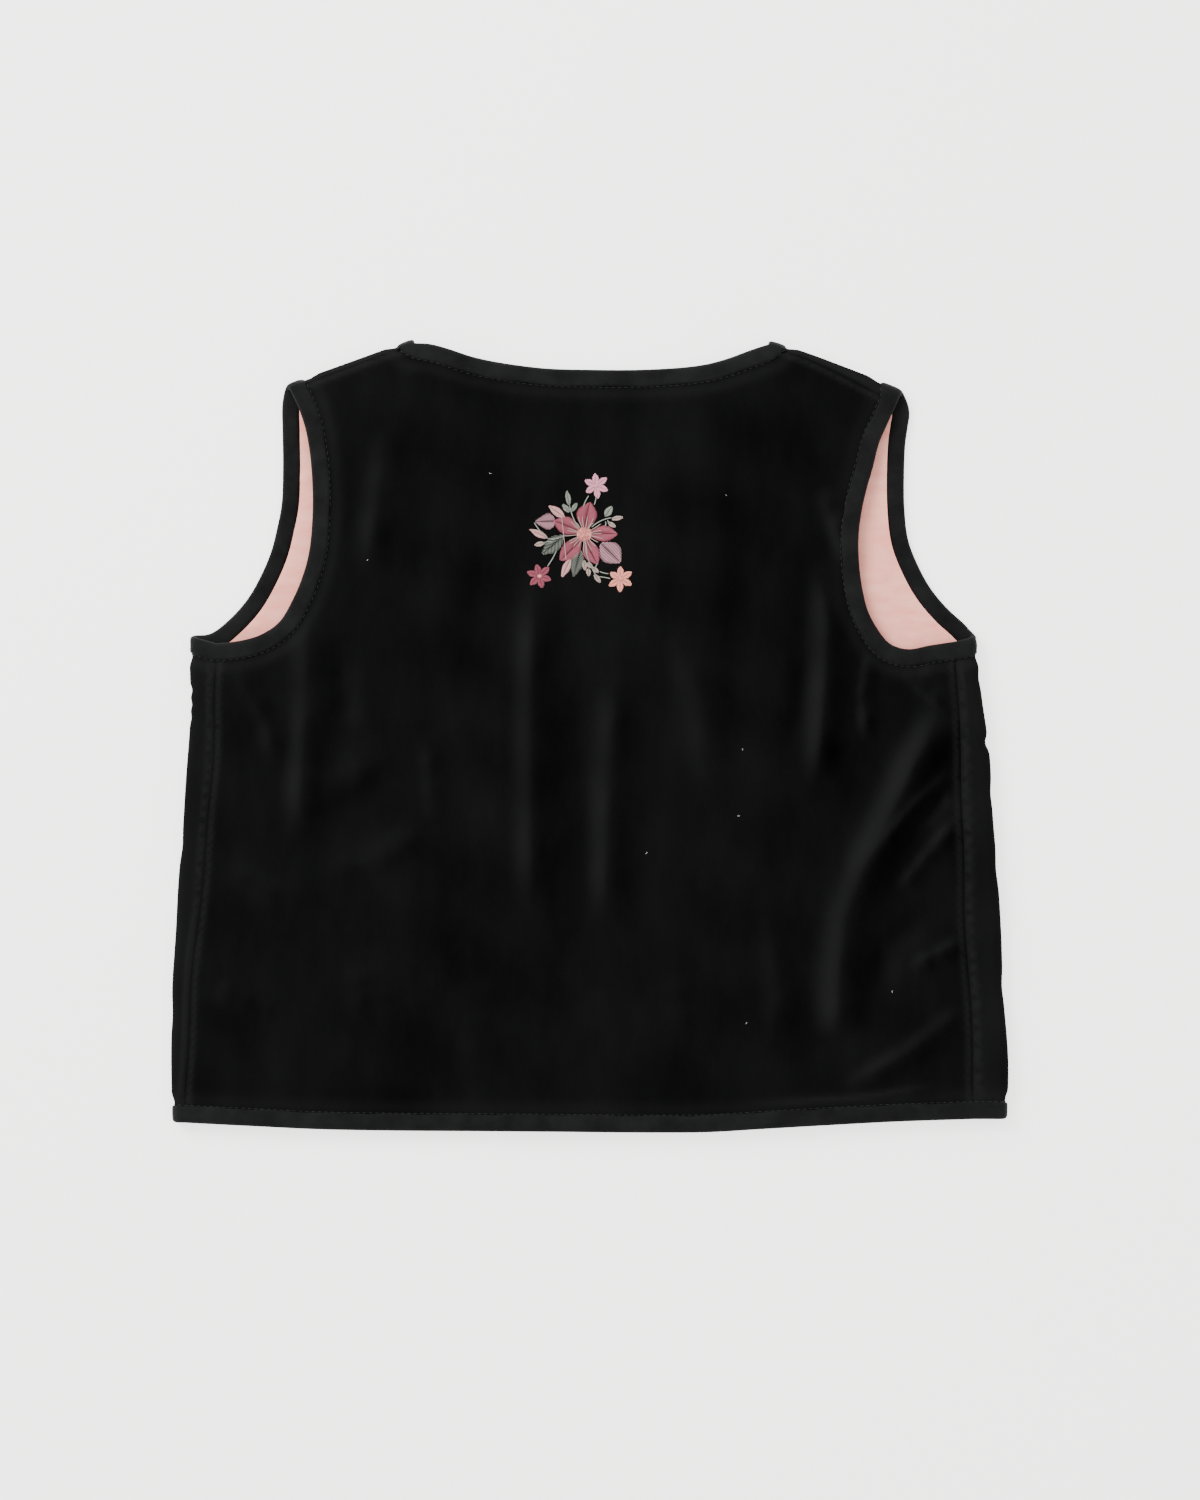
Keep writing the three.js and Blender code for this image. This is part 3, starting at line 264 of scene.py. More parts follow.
def table(xs, ys):
    order = np.argsort(xs)
    x, y = np.asarray(xs, float)[order], np.asarray(ys, float)[order]
    n = len(x)
    m = np.array([(y[min(n - 1, k + 1)] - y[max(0, k - 1)]) / (x[min(n - 1, k + 1)] - x[max(0, k - 1)]) for k in range(n)])

    def at(v):
        v = np.asarray(v, float)
        i = np.searchsorted(x[1:n - 1], v, "left")
        h = x[i + 1] - x[i]
        t = (v - x[i]) / h
        c = np.clip(t, 0, 1)
        c2, c3 = c * c, c * c * c
        inside = (2 * c3 - 3 * c2 + 1) * y[i] + (c3 - 2 * c2 + c) * h * m[i] + (3 * c2 - 2 * c3) * y[i + 1] + (c3 - c2) * h * m[i + 1]
        return np.where(t < 0, y[i] + m[i] * (v - x[i]), np.where(t > 1, y[i + 1] + m[i + 1] * (v - x[i + 1]), inside))
    return at


_fold = {-1: table(SIDE[:, 0], SIDE[:, 1]), 1: table(SIDE[:, 0], SIDE[:, 2])}
_seam = {-1: table(SIDE[:, 0], SIDE[:, 3]), 1: table(SIDE[:, 0], SIDE[:, 4])}
_sf = {s: table(SHOULDER[s][:, 0], SHOULDER[s][:, 1]) for s in (-1, 1)}
_sd = {s: table(SHOULDER[s][:, 0], SHOULDER[s][:, 2]) for s in (-1, 1)}
_hem = table([p[0] for p in HEM], [p[1] for p in HEM])
_neck = table([186] + [p[1] for p in FRONT_NECK] + [V_POINT], [84] + [p[0] for p in FRONT_NECK] + [CF])


def dent(s, y):
    y = np.asarray(y, float)
    v = 0.22 * np.sin(y / 13.0 + 1.3 * s) + 0.10 * np.sin(y / 7.7 + 2.1 * s)
    v = v * (1 - smooth(34, 50, y)) * smooth(-178, -160, y)
    for y0, depth, half in DENTS[s]:
        v = v - depth * np.exp(-((y - y0) / half) ** 2)
    return v


def foldX(s, y):
    return _fold[s](y) + dent(s, y)


def seamX(s, y):
    y = np.asarray(y, float)
    return _seam[s](y) + 0.35 * np.sin(y / 11.0 + s) * (1 - smooth(30, 44, y)) * smooth(-178, -160, y)


def foldY(s, out):
    return _sf[s](out)


def hemY(x):
    return _hem(np.clip(x, -191.1, 180.7))


def seam_angle(drop):
    return np.arcsin(np.maximum(0, 1 - drop / FOLD_R))


def front_side_seam(s, y):
    return 2 * (foldX(s, y) - FOLD_R) + math.pi * ARC_R - seamX(s, y)


def front_shoulder_seam(s, out):
    d, base = np.maximum(1.2, _sd[s](out)), foldY(s, out) - FOLD_R
    return base + np.where(d >= FOLD_R, math.pi * ARC_R + d - FOLD_R, (math.pi - seam_angle(d)) * ARC_R)


def back_shoulder_seam(s, out):
    d, base = np.maximum(1.2, _sd[s](out)), foldY(s, out) - FOLD_R
    return base + np.where(d >= FOLD_R, FOLD_R - d, seam_angle(d) * ARC_R)


def ridge(way, x, y, height, left, right, fade):
    """A soft ridge along a line of points: broad and uneven, dying away at both ends."""
    p = np.array(way, float)
    seg = np.hypot(*(p[1:] - p[:-1]).T)
    start = np.concatenate([[0], np.cumsum(seg)])
    best = np.full(x.shape, 1e9)
    side, along = np.zeros(x.shape), np.zeros(x.shape)
    for i in range(len(seg)):
        d = (p[i + 1] - p[i]) / seg[i]
        t = np.clip((x - p[i, 0]) * d[0] + (y - p[i, 1]) * d[1], 0, seg[i])
        ox, oy = x - p[i, 0] - t * d[0], y - p[i, 1] - t * d[1]
        off = np.hypot(ox, oy)
        near = off < best
        best = np.where(near, off, best)
        side = np.where(near, d[0] * oy - d[1] * ox, side)
        along = np.where(near, (start[i] + t) / start[-1], along)
    half = np.where(side > 0, right, left)
    uneven = 1 + 0.22 * np.sin(along * 9.0 + way[0][0]) + 0.12 * np.sin(along * 23.0 + way[0][1])
    return height * uneven * np.exp(-1.6 * (best / half) ** 2) * smooth(0, fade, along) * (1 - smooth(1 - fade, 1, along))


def wander(x, y):
    """Broad unevenness of cloth that has been laid down by hand."""
    v = (0.26 * np.sin(x / 31 + 0.7) * np.sin(y / 47 + 1.1) + 0.17 * np.sin(x / 17 - y / 29 + 2.0)
         + 0.10 * np.sin(x / 9.5 + y / 21 + 0.4) + 0.08 * np.sin(y / 8.3 - x / 33))
    return v


def folds(x, y):
    up = wander(x, y)
    for way, h, a, b, f in CREASES:
        up = up + ridge(way, x, y, h, a, b, f)
    return up


def lift(x, y):
    x, y = np.asarray(x, float), np.asarray(y, float)
    ax = np.abs(x)
    left = x < 0
    inside = np.where(y < ZONE, np.where(left, foldX(-1, y), foldX(1, y)) - FOLD_R - ax,
                      np.where(left, foldY(-1, ax), foldY(1, ax)) - FOLD_R - y)
    up = np.maximum(PUFF + 0.28 + folds(x, y), 0.02)
    free = smooth(6, 30, y - hemY(x))
    sag = np.where(y > V_POINT, SAG * smooth(4, 52, (_neck(np.minimum(y, 184)) - ax) * 0.85), 0)
    ripple = 0.3 * np.sin(x / 15.0 + 0.6) * np.sin(x / 37.0) * (1 - free) * smooth(0, 5, y - hemY(x) + 3)
    return (up * free + np.maximum(ripple, 0)) * smooth(0, 17, inside) * (1 - sag / SAG) - sag


def under(x, y):
    """How far the fronts stand up off the table."""
    ax = np.abs(x)
    v = np.zeros(np.shape(x))
    for way, h, a, b, f in UNDER:
        v = v + ridge(way, ax + np.where(x < 0, 6.0, 0.0), y + np.where(x < 0, -9.0, 0.0), h, a, b, f)
    edge = np.minimum(smooth(2, 26, ax), smooth(4, 30, y - hemY(x)))
    edge = edge * np.where(y < 60, smooth(4, 26, np.where(x < 0, foldX(-1, y), foldX(1, y)) - FOLD_R - ax), 1)
    edge = edge * np.where(y > 40, smooth(2, 24, 140 - ax), 1) * np.where(y > 60, smooth(2, 24, ax - _neck(np.minimum(y, 184))), 1)
    return v * edge


def fold_front(s, x, y, d):
    x, y, d = np.broadcast_arrays(*[np.asarray(v, float) for v in (x, y, d)])
    r, end = FOLD_R - d, math.pi * ARC_R
    low = y < ZONE
    base = np.where(low, foldX(s, y), foldY(s, np.abs(x))) - FOLD_R
    t = np.where(low, s * x, y) - base
    a = np.clip(t, 0, end) / ARC_R
    flat, over = t <= 0, t >= end
    on = base - (t - end)
    X = np.where(low, np.where(flat, x, np.where(over, s * on, s * (base + r * np.sin(a)))), x)
    Y = np.where(low, y, np.where(flat, y, np.where(over, on, base + r * np.sin(a))))
    Z = np.where(flat, d + under(x, y), np.where(over, TOP - d + lift(X, Y), FOLD_R - r * np.cos(a)))
    return np.stack([X, Y, Z], -1)


def fold_back(x, y, d):
    x, y, d = np.broadcast_arrays(*[np.asarray(v, float) for v in (x, y, d)])
    r, ax = FOLD_R - d, np.abs(x)
    base = np.where(x < 0, foldY(-1, ax), foldY(1, ax)) - FOLD_R
    t = y - base
    turn = (y > ZONE) & (ax > 78) & (t > 0)
    a = np.clip(t, 0, 3.0) / ARC_R
    return np.stack([x, np.where(turn, base + r * np.sin(a), y), np.where(turn, FOLD_R + r * np.cos(a), TOP - d + lift(x, y))], -1)


# ---------------------------------------------------------------- outlines
def spaced(points, step):
    p = np.array(points, float)
    if len(p) > 2:                                       # centripetal curve through the points
        q = np.vstack([2 * p[0] - p[1], p, 2 * p[-1] - p[-2]])
        dense = []
        for i in range(1, len(q) - 2):
            k = np.hypot(*(q[i:i + 3] - q[i - 1:i + 2]).T) ** 0.5
            t0, t1 = 0, k[0]
            t2 = t1 + k[1]
            t3 = t2 + k[2]
            t = np.linspace(t1, t2, 24, endpoint=False)[:, None]
            a1 = (t1 - t) / (t1 - t0) * q[i - 1] + (t - t0) / (t1 - t0) * q[i]
            a2 = (t2 - t) / (t2 - t1) * q[i] + (t - t1) / (t2 - t1) * q[i + 1]
            a3 = (t3 - t) / (t3 - t2) * q[i + 1] + (t - t2) / (t3 - t2) * q[i + 2]
            b1 = (t2 - t) / (t2 - t0) * a1 + (t - t0) / (t2 - t0) * a2
            b2 = (t3 - t) / (t3 - t1) * a2 + (t - t1) / (t3 - t1) * a3
            dense.append((t2 - t) / (t2 - t1) * b1 + (t - t1) / (t2 - t1) * b2)
        p = np.vstack(dense + [p[-1:]])
    seg = np.concatenate([[0], np.cumsum(np.hypot(*(p[1:] - p[:-1]).T))])
    n = max(1, int(round(seg[-1] / step)))
    at = np.linspace(0, seg[-1], n + 1)
    return np.stack([np.interp(at, seg, p[:, 0]), np.interp(at, seg, p[:, 1])], -1)


def out(s, pts):
    return [[s * a, y] for a, y in pts]


def armhole_back(s, step):
    u = UNDERARM[s]
    return spaced([[s * seamX(s, u), u]] + ARM_BACK[s] + [[s * ARM_TIP[s], back_shoulder_seam(s, ARM_TIP[s])]], step)


def armhole_front(s, step):
    pts, a, u = ARM_FRONT[s], ARM_TIP[s], UNDERARM[s]
    turn, low = (a + pts[0][0]) / 2, u + 5.0
    return spaced([[s * a, front_shoulder_seam(s, a)], [s * turn, foldY(s, turn) - FOLD_R + ARC_R * 1.4]] + out(s, pts)
                  + [[s * (foldX(s, low) - FOLD_R + ARC_R * 1.3), low - 1.2], [s * front_side_seam(s, u), u]], step)


def neck_front(s, step):
    a = NECK_TIP[s]
    top = foldY(s, a + 1) - FOLD_R
    return spaced([[s * CF, V_POINT]] + out(s, FRONT_NECK[::-1]) + [[s * (a - 0.3), top + 1], [s * a, front_shoulder_seam(s, a)]], step)


def neck_back(step):
    return spaced([[NECK_TIP[1], back_shoulder_seam(1, NECK_TIP[1])]] + BACK_NECK[::-1]
                  + [[-NECK_TIP[-1], back_shoulder_seam(-1, NECK_TIP[-1])]], step)


def hem_front(s, step):
    y = HEM_SEAM[s]
    end = float(front_side_seam(s, y))
    return spaced([[s * CF, -184.2], [s * 60, -184.0], [s * 130, (-184 + y) / 2], [s * 175, y - 0.3], [s * (end - 8), y], [s * end, y]], step)


def centre_front(s, step):
    return spaced([[s * CF, -184.2], [s * CF, V_POINT]], step)


def seam_line(a, b, f, step):
    v = np.linspace(a, b, max(2, int(abs(b - a) / step) + 1))
    return f(v)


STEP = 3.0 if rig.quick() else 2.0


def back_edges():
    cols = lambda a, b: np.stack(np.broadcast_arrays(np.asarray(a, float), np.asarray(b, float)), -1)
    return [
        (True, spaced(HEM, STEP)),
        (False, seam_line(HEM_SEAM[1], UNDERARM[1], lambda y: cols(seamX(1, y), y), STEP)),
        (True, armhole_back(1, STEP)),
        (False, seam_line(ARM_TIP[1], NECK_TIP[1], lambda a: cols(a, back_shoulder_seam(1, a)), STEP)),
        (True, neck_back(STEP)),
        (False, seam_line(NECK_TIP[-1], ARM_TIP[-1], lambda a: cols(-a, back_shoulder_seam(-1, a)), STEP)),
        (True, armhole_back(-1, STEP)[::-1]),
        (False, seam_line(UNDERARM[-1], HEM_SEAM[-1], lambda y: cols(-seamX(-1, y), y), STEP))]


def front_edges(s):
    cols = lambda a, b: np.stack(np.broadcast_arrays(np.asarray(a, float), np.asarray(b, float)), -1)
    e = [
        (True, hem_front(s, STEP)),
        (False, seam_line(HEM_SEAM[s], UNDERARM[s], lambda y: cols(s * front_side_seam(s, y), y), STEP)),
        (True, armhole_front(s, STEP)[::-1]),
        (False, seam_line(ARM_TIP[s], NECK_TIP[s], lambda a: cols(s * a, front_shoulder_seam(s, a)), STEP)),
        (True, neck_front(s, STEP)[::-1]),
        (True, centre_front(s, STEP)[::-1])]
    return e if s > 0 else [(b, p[::-1]) for b, p in e[::-1]]


def normals2(p):
    d = np.empty_like(p)
    d[1:-1], d[0], d[-1] = p[2:] - p[:-2], p[1] - p[0], p[-1] - p[-2]
    d /= np.maximum(np.hypot(d[:, 0], d[:, 1]), 1e-9)[:, None]
    return np.stack([-d[:, 1], d[:, 0]], -1)


def crossing(m, q):
    a, b = m[1:] - m[:-1], q[1:] - q[:-1]
    c = a[:, None, 0] * b[None, :, 1] - a[:, None, 1] * b[None, :, 0]
    dx, dy = q[None, :-1, 0] - m[:-1, None, 0], q[None, :-1, 1] - m[:-1, None, 1]
    with np.errstate(divide="ignore", invalid="ignore"):
        t = (dx * b[None, :, 1] - dy * b[None, :, 0]) / c
        u = (dx * a[:, None, 1] - dy * a[:, None, 0]) / c
    hit = np.argwhere((t >= 0) & (t <= 1) & (u >= 0) & (u <= 1))
    if not len(hit):
        return None
    i, j = hit[np.argmax(hit[:, 0])]
    return i + t[i, j], j + u[i, j]


def offset_loop(edges, bound, sewn):
    moved = []
    for b, p in edges:
        m = p + normals2(p) * (bound if b else sewn)
        ext = lambda a, c: a + (a - c) / max(np.hypot(*(a - c)), 1e-9) * 22
        moved.append(np.vstack([ext(m[0], m[1]), m, ext(m[-1], m[-2])]))
    n = len(edges)
    cut = [crossing(moved[k], moved[(k + 1) % n]) for k in range(n)]
    loop = []
    for k in range(n):
        a, b, m = cut[(k - 1) % n][1], cut[k][0], moved[k]
        at = lambda v: m[int(v)] + (m[min(int(v) + 1, len(m) - 1)] - m[int(v)]) * (v - int(v))
        pts = [at(a)] + [m[i] for i in range(int(math.floor(a)) + 1, int(math.ceil(b))) if i - a > 0.3 and b - i > 0.3]
        loop.extend(pts)
    loop = np.array(loop)
    keep = np.hypot(*(loop - np.roll(loop, 1, 0)).T) > 0.2
    return loop[keep]


def inside_poly(poly, x, y):
    c = np.zeros(x.shape, bool)
    xj, yj = poly[-1]
    for xi, yi in poly:
        with np.errstate(divide="ignore", invalid="ignore"):
            hit = ((yi > y) != (yj > y)) & (x < (xj - xi) * (y - yi) / (yj - yi) + xi)
        c ^= hit
        xj, yj = xi, yi
    return c


def distance(lines, x, y):
    best = np.full(x.shape, 1e9)
    for p in lines:
        for a, b in zip(p[:-1], p[1:]):
            d = b - a
            t = np.clip(((x - a[0]) * d[0] + (y - a[1]) * d[1]) / max(d @ d, 1e-12), 0, 1)
            best = np.minimum(best, (x - a[0] - t * d[0]) ** 2 + (y - a[1] - t * d[1]) ** 2)
    return np.sqrt(best)


def grid(loop, pitch):
    lo, hi = loop.min(0), loop.max(0)
    rows = np.arange(lo[1], hi[1], pitch * 0.866)
    xs = np.arange(lo[0], hi[0], pitch)
    gx, gy = np.meshgrid(xs, rows)
    gx = gx + (np.arange(len(rows)) % 2)[:, None] * pitch / 2
    gx = gx + rng.uniform(-0.12, 0.12, gx.shape) * pitch
    gy = gy + rng.uniform(-0.12, 0.12, gy.shape) * pitch
    return gx.ravel(), gy.ravel()


def flat_mesh(loop, pitch, zone=None):
    """Triangles of a panel's own plane, closer together where it folds."""
    x, y = grid(loop, pitch)
    if zone is not None:
        far = ~zone(x, y)
        fx, fy = grid(loop, min(pitch, 1.2))
        close = zone(fx, fy)
        x, y = np.concatenate([x[far], fx[close]]), np.concatenate([y[far], fy[close]])
    ok = inside_poly(loop, x, y)
    x, y = x[ok], y[ok]
    ok = distance([np.vstack([loop, loop[:1]])], x, y) > 0.7
    pts = np.vstack([loop, np.stack([x[ok], y[ok]], -1)])
    n = len(loop)
    vs, es, fs, *_ = delaunay_2d_cdt([tuple(p) for p in pts], [(i, (i + 1) % n) for i in range(n)], [], 1, 1e-5)
    return np.array([(v[0], v[1]) for v in vs]), np.array([f for f in fs if len(f) == 3])


def make(name, verts, faces, mat, smooth_angle=None):
    me = bpy.data.meshes.new(name)
    me.from_pydata((np.asarray(verts) * 0.001).tolist(), [], [tuple(int(i) for i in f) for f in faces])
    me.update()
    me.polygons.foreach_set("use_smooth", [True] * len(me.polygons))
    if smooth_angle:
        me.set_sharp_from_angle(angle=math.radians(smooth_angle))
    me.materials.append(mat)
    ob = bpy.data.objects.new(name, me)
    bpy.context.scene.collection.objects.link(ob)
    return ob


def volume(v, f):
    a, b, c = v[f[:, 0]], v[f[:, 1]], v[f[:, 2]]
    return float(np.einsum("ij,ij->i", a, np.cross(b, c)).sum())


def flat_area(p, f):
    a, b = p[f[:, 1]] - p[f[:, 0]], p[f[:, 2]] - p[f[:, 0]]
    return float(np.abs(a[:, 0] * b[:, 1] - a[:, 1] * b[:, 0]).sum() / 2)


def wall(p, f, place, outer, inner):
    top, bottom = place(p[:, 0], p[:, 1], outer), place(p[:, 0], p[:, 1], inner)
    n = len(p)
    edges = {}
    for t in f:
        for a, b in ((t[0], t[1]), (t[1], t[2]), (t[2], t[0])):
            if (b, a) in edges:
                del edges[(b, a)]
            else:
                edges[(a, b)] = 1
    rim = []
    for a, b in edges:
        rim += [(b, a, a + n), (b, a + n, b + n)]
    faces = np.vstack([f, f[:, [0, 2, 1]] + n, np.array(rim)])
    v = np.vstack([top, bottom])
    if volume(v, faces) < 0:
        faces = faces[:, [0, 2, 1]]
    return v, faces


# ---------------------------------------------------------------- materials
def lin(r, g, b):
    f = lambda c: c / 12.92 if c <= 0.04045 else ((c + 0.055) / 1.055) ** 2.4
    return (f(r / 255), f(g / 255), f(b / 255), 1.0)


def material(name, dark, light, rough, scale, bump=0.0, bump_scale=900.0, sheen=0.0, sheen_rough=0.4, tint=(1, 1, 1, 1),
             stretch=(1, 1, 1), spec=0.3, nap=False, fine=0.0, aniso=0.0):
    m = bpy.data.materials.new(name)
    m.use_nodes = True
    nt = m.node_tree
    n = nt.nodes
    b = n["Principled BSDF"]
    b.inputs["Roughness"].default_value = rough
    b.inputs["Specular IOR Level"].default_value = spec
    b.inputs["Sheen Weight"].default_value = sheen
    b.inputs["Sheen Roughness"].default_value = sheen_rough
    b.inputs["Sheen Tint"].default_value = tint
    b.inputs["Anisotropic"].default_value = aniso
    co = n.new("ShaderNodeTexCoord")
    mp = n.new("ShaderNodeMapping")
    mp.inputs["Scale"].default_value = stretch
    nt.links.new(co.outputs["Object"], mp.inputs["Vector"])
    noise = n.new("ShaderNodeTexNoise")
    noise.inputs["Scale"].default_value = scale
    noise.inputs["Detail"].default_value = 5.0
    noise.inputs["Roughness"].default_value = 0.6
    nt.links.new(mp.outputs["Vector"], noise.inputs["Vector"])
    mix = n.new("ShaderNodeMix")
    mix.data_type = "RGBA"
    mix.inputs["A"].default_value = dark
    mix.inputs["B"].default_value = light
    fac = noise.outputs["Fac"]
    rng_n = n.new("ShaderNodeMapRange")
    rng_n.inputs["From Min"].default_value = 0.3
    rng_n.inputs["From Max"].default_value = 0.7
    nt.links.new(fac, rng_n.inputs["Value"])
    fac = rng_n.outputs["Result"]
    if nap:                                              # painted light and shade: a mesh attribute, lighter on slopes facing the upper left, on steep slopes, beside seams and bindings and along the hem
        at = n.new("ShaderNodeAttribute")
        at.attribute_name = "nap"
        a = n.new("ShaderNodeMath")
        a.operation = "MULTIPLY_ADD"
        nt.links.new(fac, a.inputs[0])
        a.inputs[1].default_value = 0.22
        nt.links.new(at.outputs["Fac"], a.inputs[2])
        fac = a.outputs[0]
    if fine:
        g = n.new("ShaderNodeTexNoise")
        g.inputs["Scale"].default_value = 2600.0
        g.inputs["Detail"].default_value = 2.0
        nt.links.new(co.outputs["Object"], g.inputs["Vector"])
        a = n.new("ShaderNodeMath")
        a.operation = "MULTIPLY_ADD"
        nt.links.new(g.outputs["Fac"], a.inputs[0])
        a.inputs[1].default_value = fine
        nt.links.new(fac, a.inputs[2])
        s = n.new("ShaderNodeMath")
        s.operation = "SUBTRACT"
        nt.links.new(a.outputs[0], s.inputs[0])
        s.inputs[1].default_value = fine / 2
        fac = s.outputs[0]
    nt.links.new(fac, mix.inputs["Factor"])
    nt.links.new(mix.outputs["Result"], b.inputs["Base Color"])
    if bump:
        t = n.new("ShaderNodeTexNoise")
        t.inputs["Scale"].default_value = bump_scale
        t.inputs["Detail"].default_value = 3.0
        nt.links.new(mp.outputs["Vector"], t.inputs["Vector"])
        bp = n.new("ShaderNodeBump")
        bp.inputs["Strength"].default_value = bump
        bp.inputs["Distance"].default_value = 0.0004
        nt.links.new(t.outputs["Fac"], bp.inputs["Height"])
        nt.links.new(bp.outputs["Normal"], b.inputs["Normal"])
    return m


velvet = material("velvet", (0.0001, 0.00012, 0.00011, 1), (0.0082, 0.0086, 0.0084, 1), 0.95, 42.0, bump=0.45, bump_scale=1500.0,
                  sheen=0.007, sheen_rough=0.30, tint=(0.95, 1.0, 0.98, 1), stretch=(1, 0.45, 1), spec=0.015, nap=True, fine=0.16)
binding_mat = material("binding", (0.0018, 0.0019, 0.0020, 1), (0.0068, 0.0070, 0.0073, 1), 0.85, 75.0, bump=0.6, bump_scale=2400.0,
                       sheen=0.045, sheen_rough=0.45, tint=(0.95, 0.97, 1.0, 1), spec=0.1, fine=0.3)
satin = material("lining", lin(246, 152, 136), lin(255, 180, 164), 0.42, 60.0, bump=0.25, bump_scale=1800.0, sheen=0.12,
                 sheen_rough=0.3, spec=0.45, stretch=(1, 3, 1))
stitch_mat = material("stitching", (0.006, 0.006, 0.007, 1), (0.014, 0.014, 0.016, 1), 0.7, 300.0)


def thread_mat(name, rgb, shade=0.8):
    c = lin(*rgb)
    return material(name, tuple(v * shade for v in c[:3]) + (1,), c, 0.45, 700.0, sheen=0.15, sheen_rough=0.3, spec=0.35)


# ---------------------------------------------------------------- panels
def pressed(n):
    return 1 - smooth(THIN_TO, THIN_END, n)


def paint_light_and_tone(ob, painted_highlight):
    """Painted light and shade on the pile: lighter on slopes that face the upper left and on steep slopes, a painted
    highlight beside seams, bindings and along the hem, and faint uneven tone.
    """
    me = ob.data
    co = np.empty(len(me.vertices) * 3)
    me.vertices.foreach_get("co", co)
    x, y = co.reshape(-1, 3)[:, 0] * 1000, co.reshape(-1, 3)[:, 1] * 1000
    e = 0.6
    gx, gy = (folds(x + e, y) - folds(x - e, y)) / (2 * e), (folds(x, y + e) - folds(x, y - e)) / (2 * e)
    # painted shade and highlight: slopes that face the upper left are lighter, those that face away are darker, and
    # steep slopes are lighter still
    tilt = gx * 0.86 - gy * 0.35
    v = 0.24 + 0.66 * np.tanh(2.7 * tilt) + 0.20 * np.tanh(3.0 * np.hypot(gx, gy))
    # painted highlight: a thin light line just above the hem on the right half of the back
    hem_painted_highlight = np.exp(-((y - hemY(x) - 12.5 - 5.0 * smooth(120, 175, x)) / 1.6) ** 2) * smooth(70, 100, x) * (1 - smooth(140, 172, x))
    v = v + 0.35 * hem_painted_highlight + 0.16 * np.concatenate([painted_highlight, painted_highlight])
    v = v + 0.05 * np.sin(x / 23 + 1.7 * np.sin(y / 61)) * np.sin(y / 90 + 0.6) + 0.04 * np.sin(y / 7.3 + x / 19) * np.sin(x / 41)
    at = me.attributes.new("nap", "FLOAT", "POINT")
    at.data.foreach_set("value", np.clip(v, 0.0, 1.0).astype(np.float32))


def panel(name, edges, place, kind, pitch, lining_creases=None, zone=None):
    is_velvet = kind == "velvet"
    kind_back = name == "cloth_back"
    loop = offset_loop(edges, EDGE_OFF if is_velvet else BIND_W + GAP, 0.03 if is_velvet else 3.0)
    p, f = flat_mesh(loop, pitch, zone)
    bound = distance([e for b, e in edges if b], p[:, 0], p[:, 1])
    seam = distance([e for b, e in edges if not b], p[:, 0], p[:, 1])
    k = pressed(bound)
    if is_velvet:
        dip = 1.05 * (1 - smooth(0.1, 2.4, seam)) + 0.22 * (1 - smooth(2.4, 6.5, seam))
        outer, inner = EDGE_OFF * k + np.where(k > 0.5, dip * 0.4, dip), VELVET + 0.35 * k
    else:
        outer, inner = VELVET + GAP + 0.35 * k, VELVET + GAP + LINING * 0.7 + 0.35 * k
        if lining_creases:
            c = lining_creases(p[:, 0], p[:, 1])
            outer, inner = outer + c, inner + c
    v, faces = wall(p, f, place, outer, inner)
    ob = make(name, v, faces, velvet if is_velvet else satin, 60)
    if is_velvet:
        # painted highlight: the pile is made lighter in a band inside the bindings and beside the seams, and the fronts
        # are made lighter throughout
        paint_light_and_tone(ob, 1.7 * np.exp(-((bound - 11.0) / 3.2) ** 2) + 3.2 * np.exp(-((seam - 2.0) / 1.4) ** 2) + (0 if kind_back else 1.6))
    area = flat_area(p, f) * 1e-6
    span = (p.max(0) - p.min(0)) * 1e-3
    return ob, area, (float(span[0]), float(span[1]))


def lining_folds(s):
    def f(x, y):
        v = np.zeros(x.shape)
        if s < 0:
            ways = [([(-121, 122.5), (-140, 121.4), (-149, 122.2)], 1.3, 1.6, 2.4), ([(-124, 98), (-138, 96.5), (-146, 97.5)], 0.45, 3, 4),
                    ([(-134, 143), (-141, 128), (-142, 108)], 0.5, 3, 4), ([(-142, 78), (-150, 68), (-158, 60)], 0.55, 2.5, 3.5),
                    ([(-150, 57), (-158, 52), (-170, 47)], 0.5, 2, 3)]
        else:
            ways = [([(121, 76.0), (134, 75.0), (147, 77.0)], 0.9, 1.8, 2.6), ([(124, 68.0), (140, 66.0), (152, 69)], 0.5, 2.4, 3.2),
                    ([(156, 61), (155, 50), (152, 38)], 0.9, 1.5, 2.2), ([(161, 58), (161, 48), (159, 37)], 0.8, 1.5, 2.0),
                    ([(167, 54), (167, 45), (166, 36)], 0.7, 1.5, 2.0), ([(141, 120), (139, 100), (140, 86)], 0.45, 3, 4),
                    ([(126, 128), (140, 126), (147, 127)], 0.4, 2, 3)]
        for way, h, a, b in ways:
            v = v + ridge(way, x, y, h, a, b, 0.25)
        return v + 0.16 * np.sin(x / 6.1 + y / 9.0) * np.sin(y / 5.2 - x / 14.0)
    return f


PB, PF = (4.0, 7.0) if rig.quick() else (2.15, 3.3)
sheets = {}
sheets["back_panel"] = panel("cloth_back", back_edges(), fold_back, "velvet", PB)
for s, word in ((-1, "left"), (1, "right")):
    place = lambda x, y, d, s=s: fold_front(s, x, y, d)

    def near_fold(x, y, s=s):
        t = np.where(y < ZONE, s * x - foldX(s, y), y - foldY(s, np.abs(x))) + FOLD_R
        return (t > -3.5) & (t < 14)
    sheets["front_" + word] = panel("cloth_front_" + word, front_edges(s), place, "velvet", PF, zone=near_fold)
    sheets["lining_front_" + word] = panel("cloth_lining_" + word, front_edges(s), place, "lining", PF, lining_folds(s), zone=near_fold)

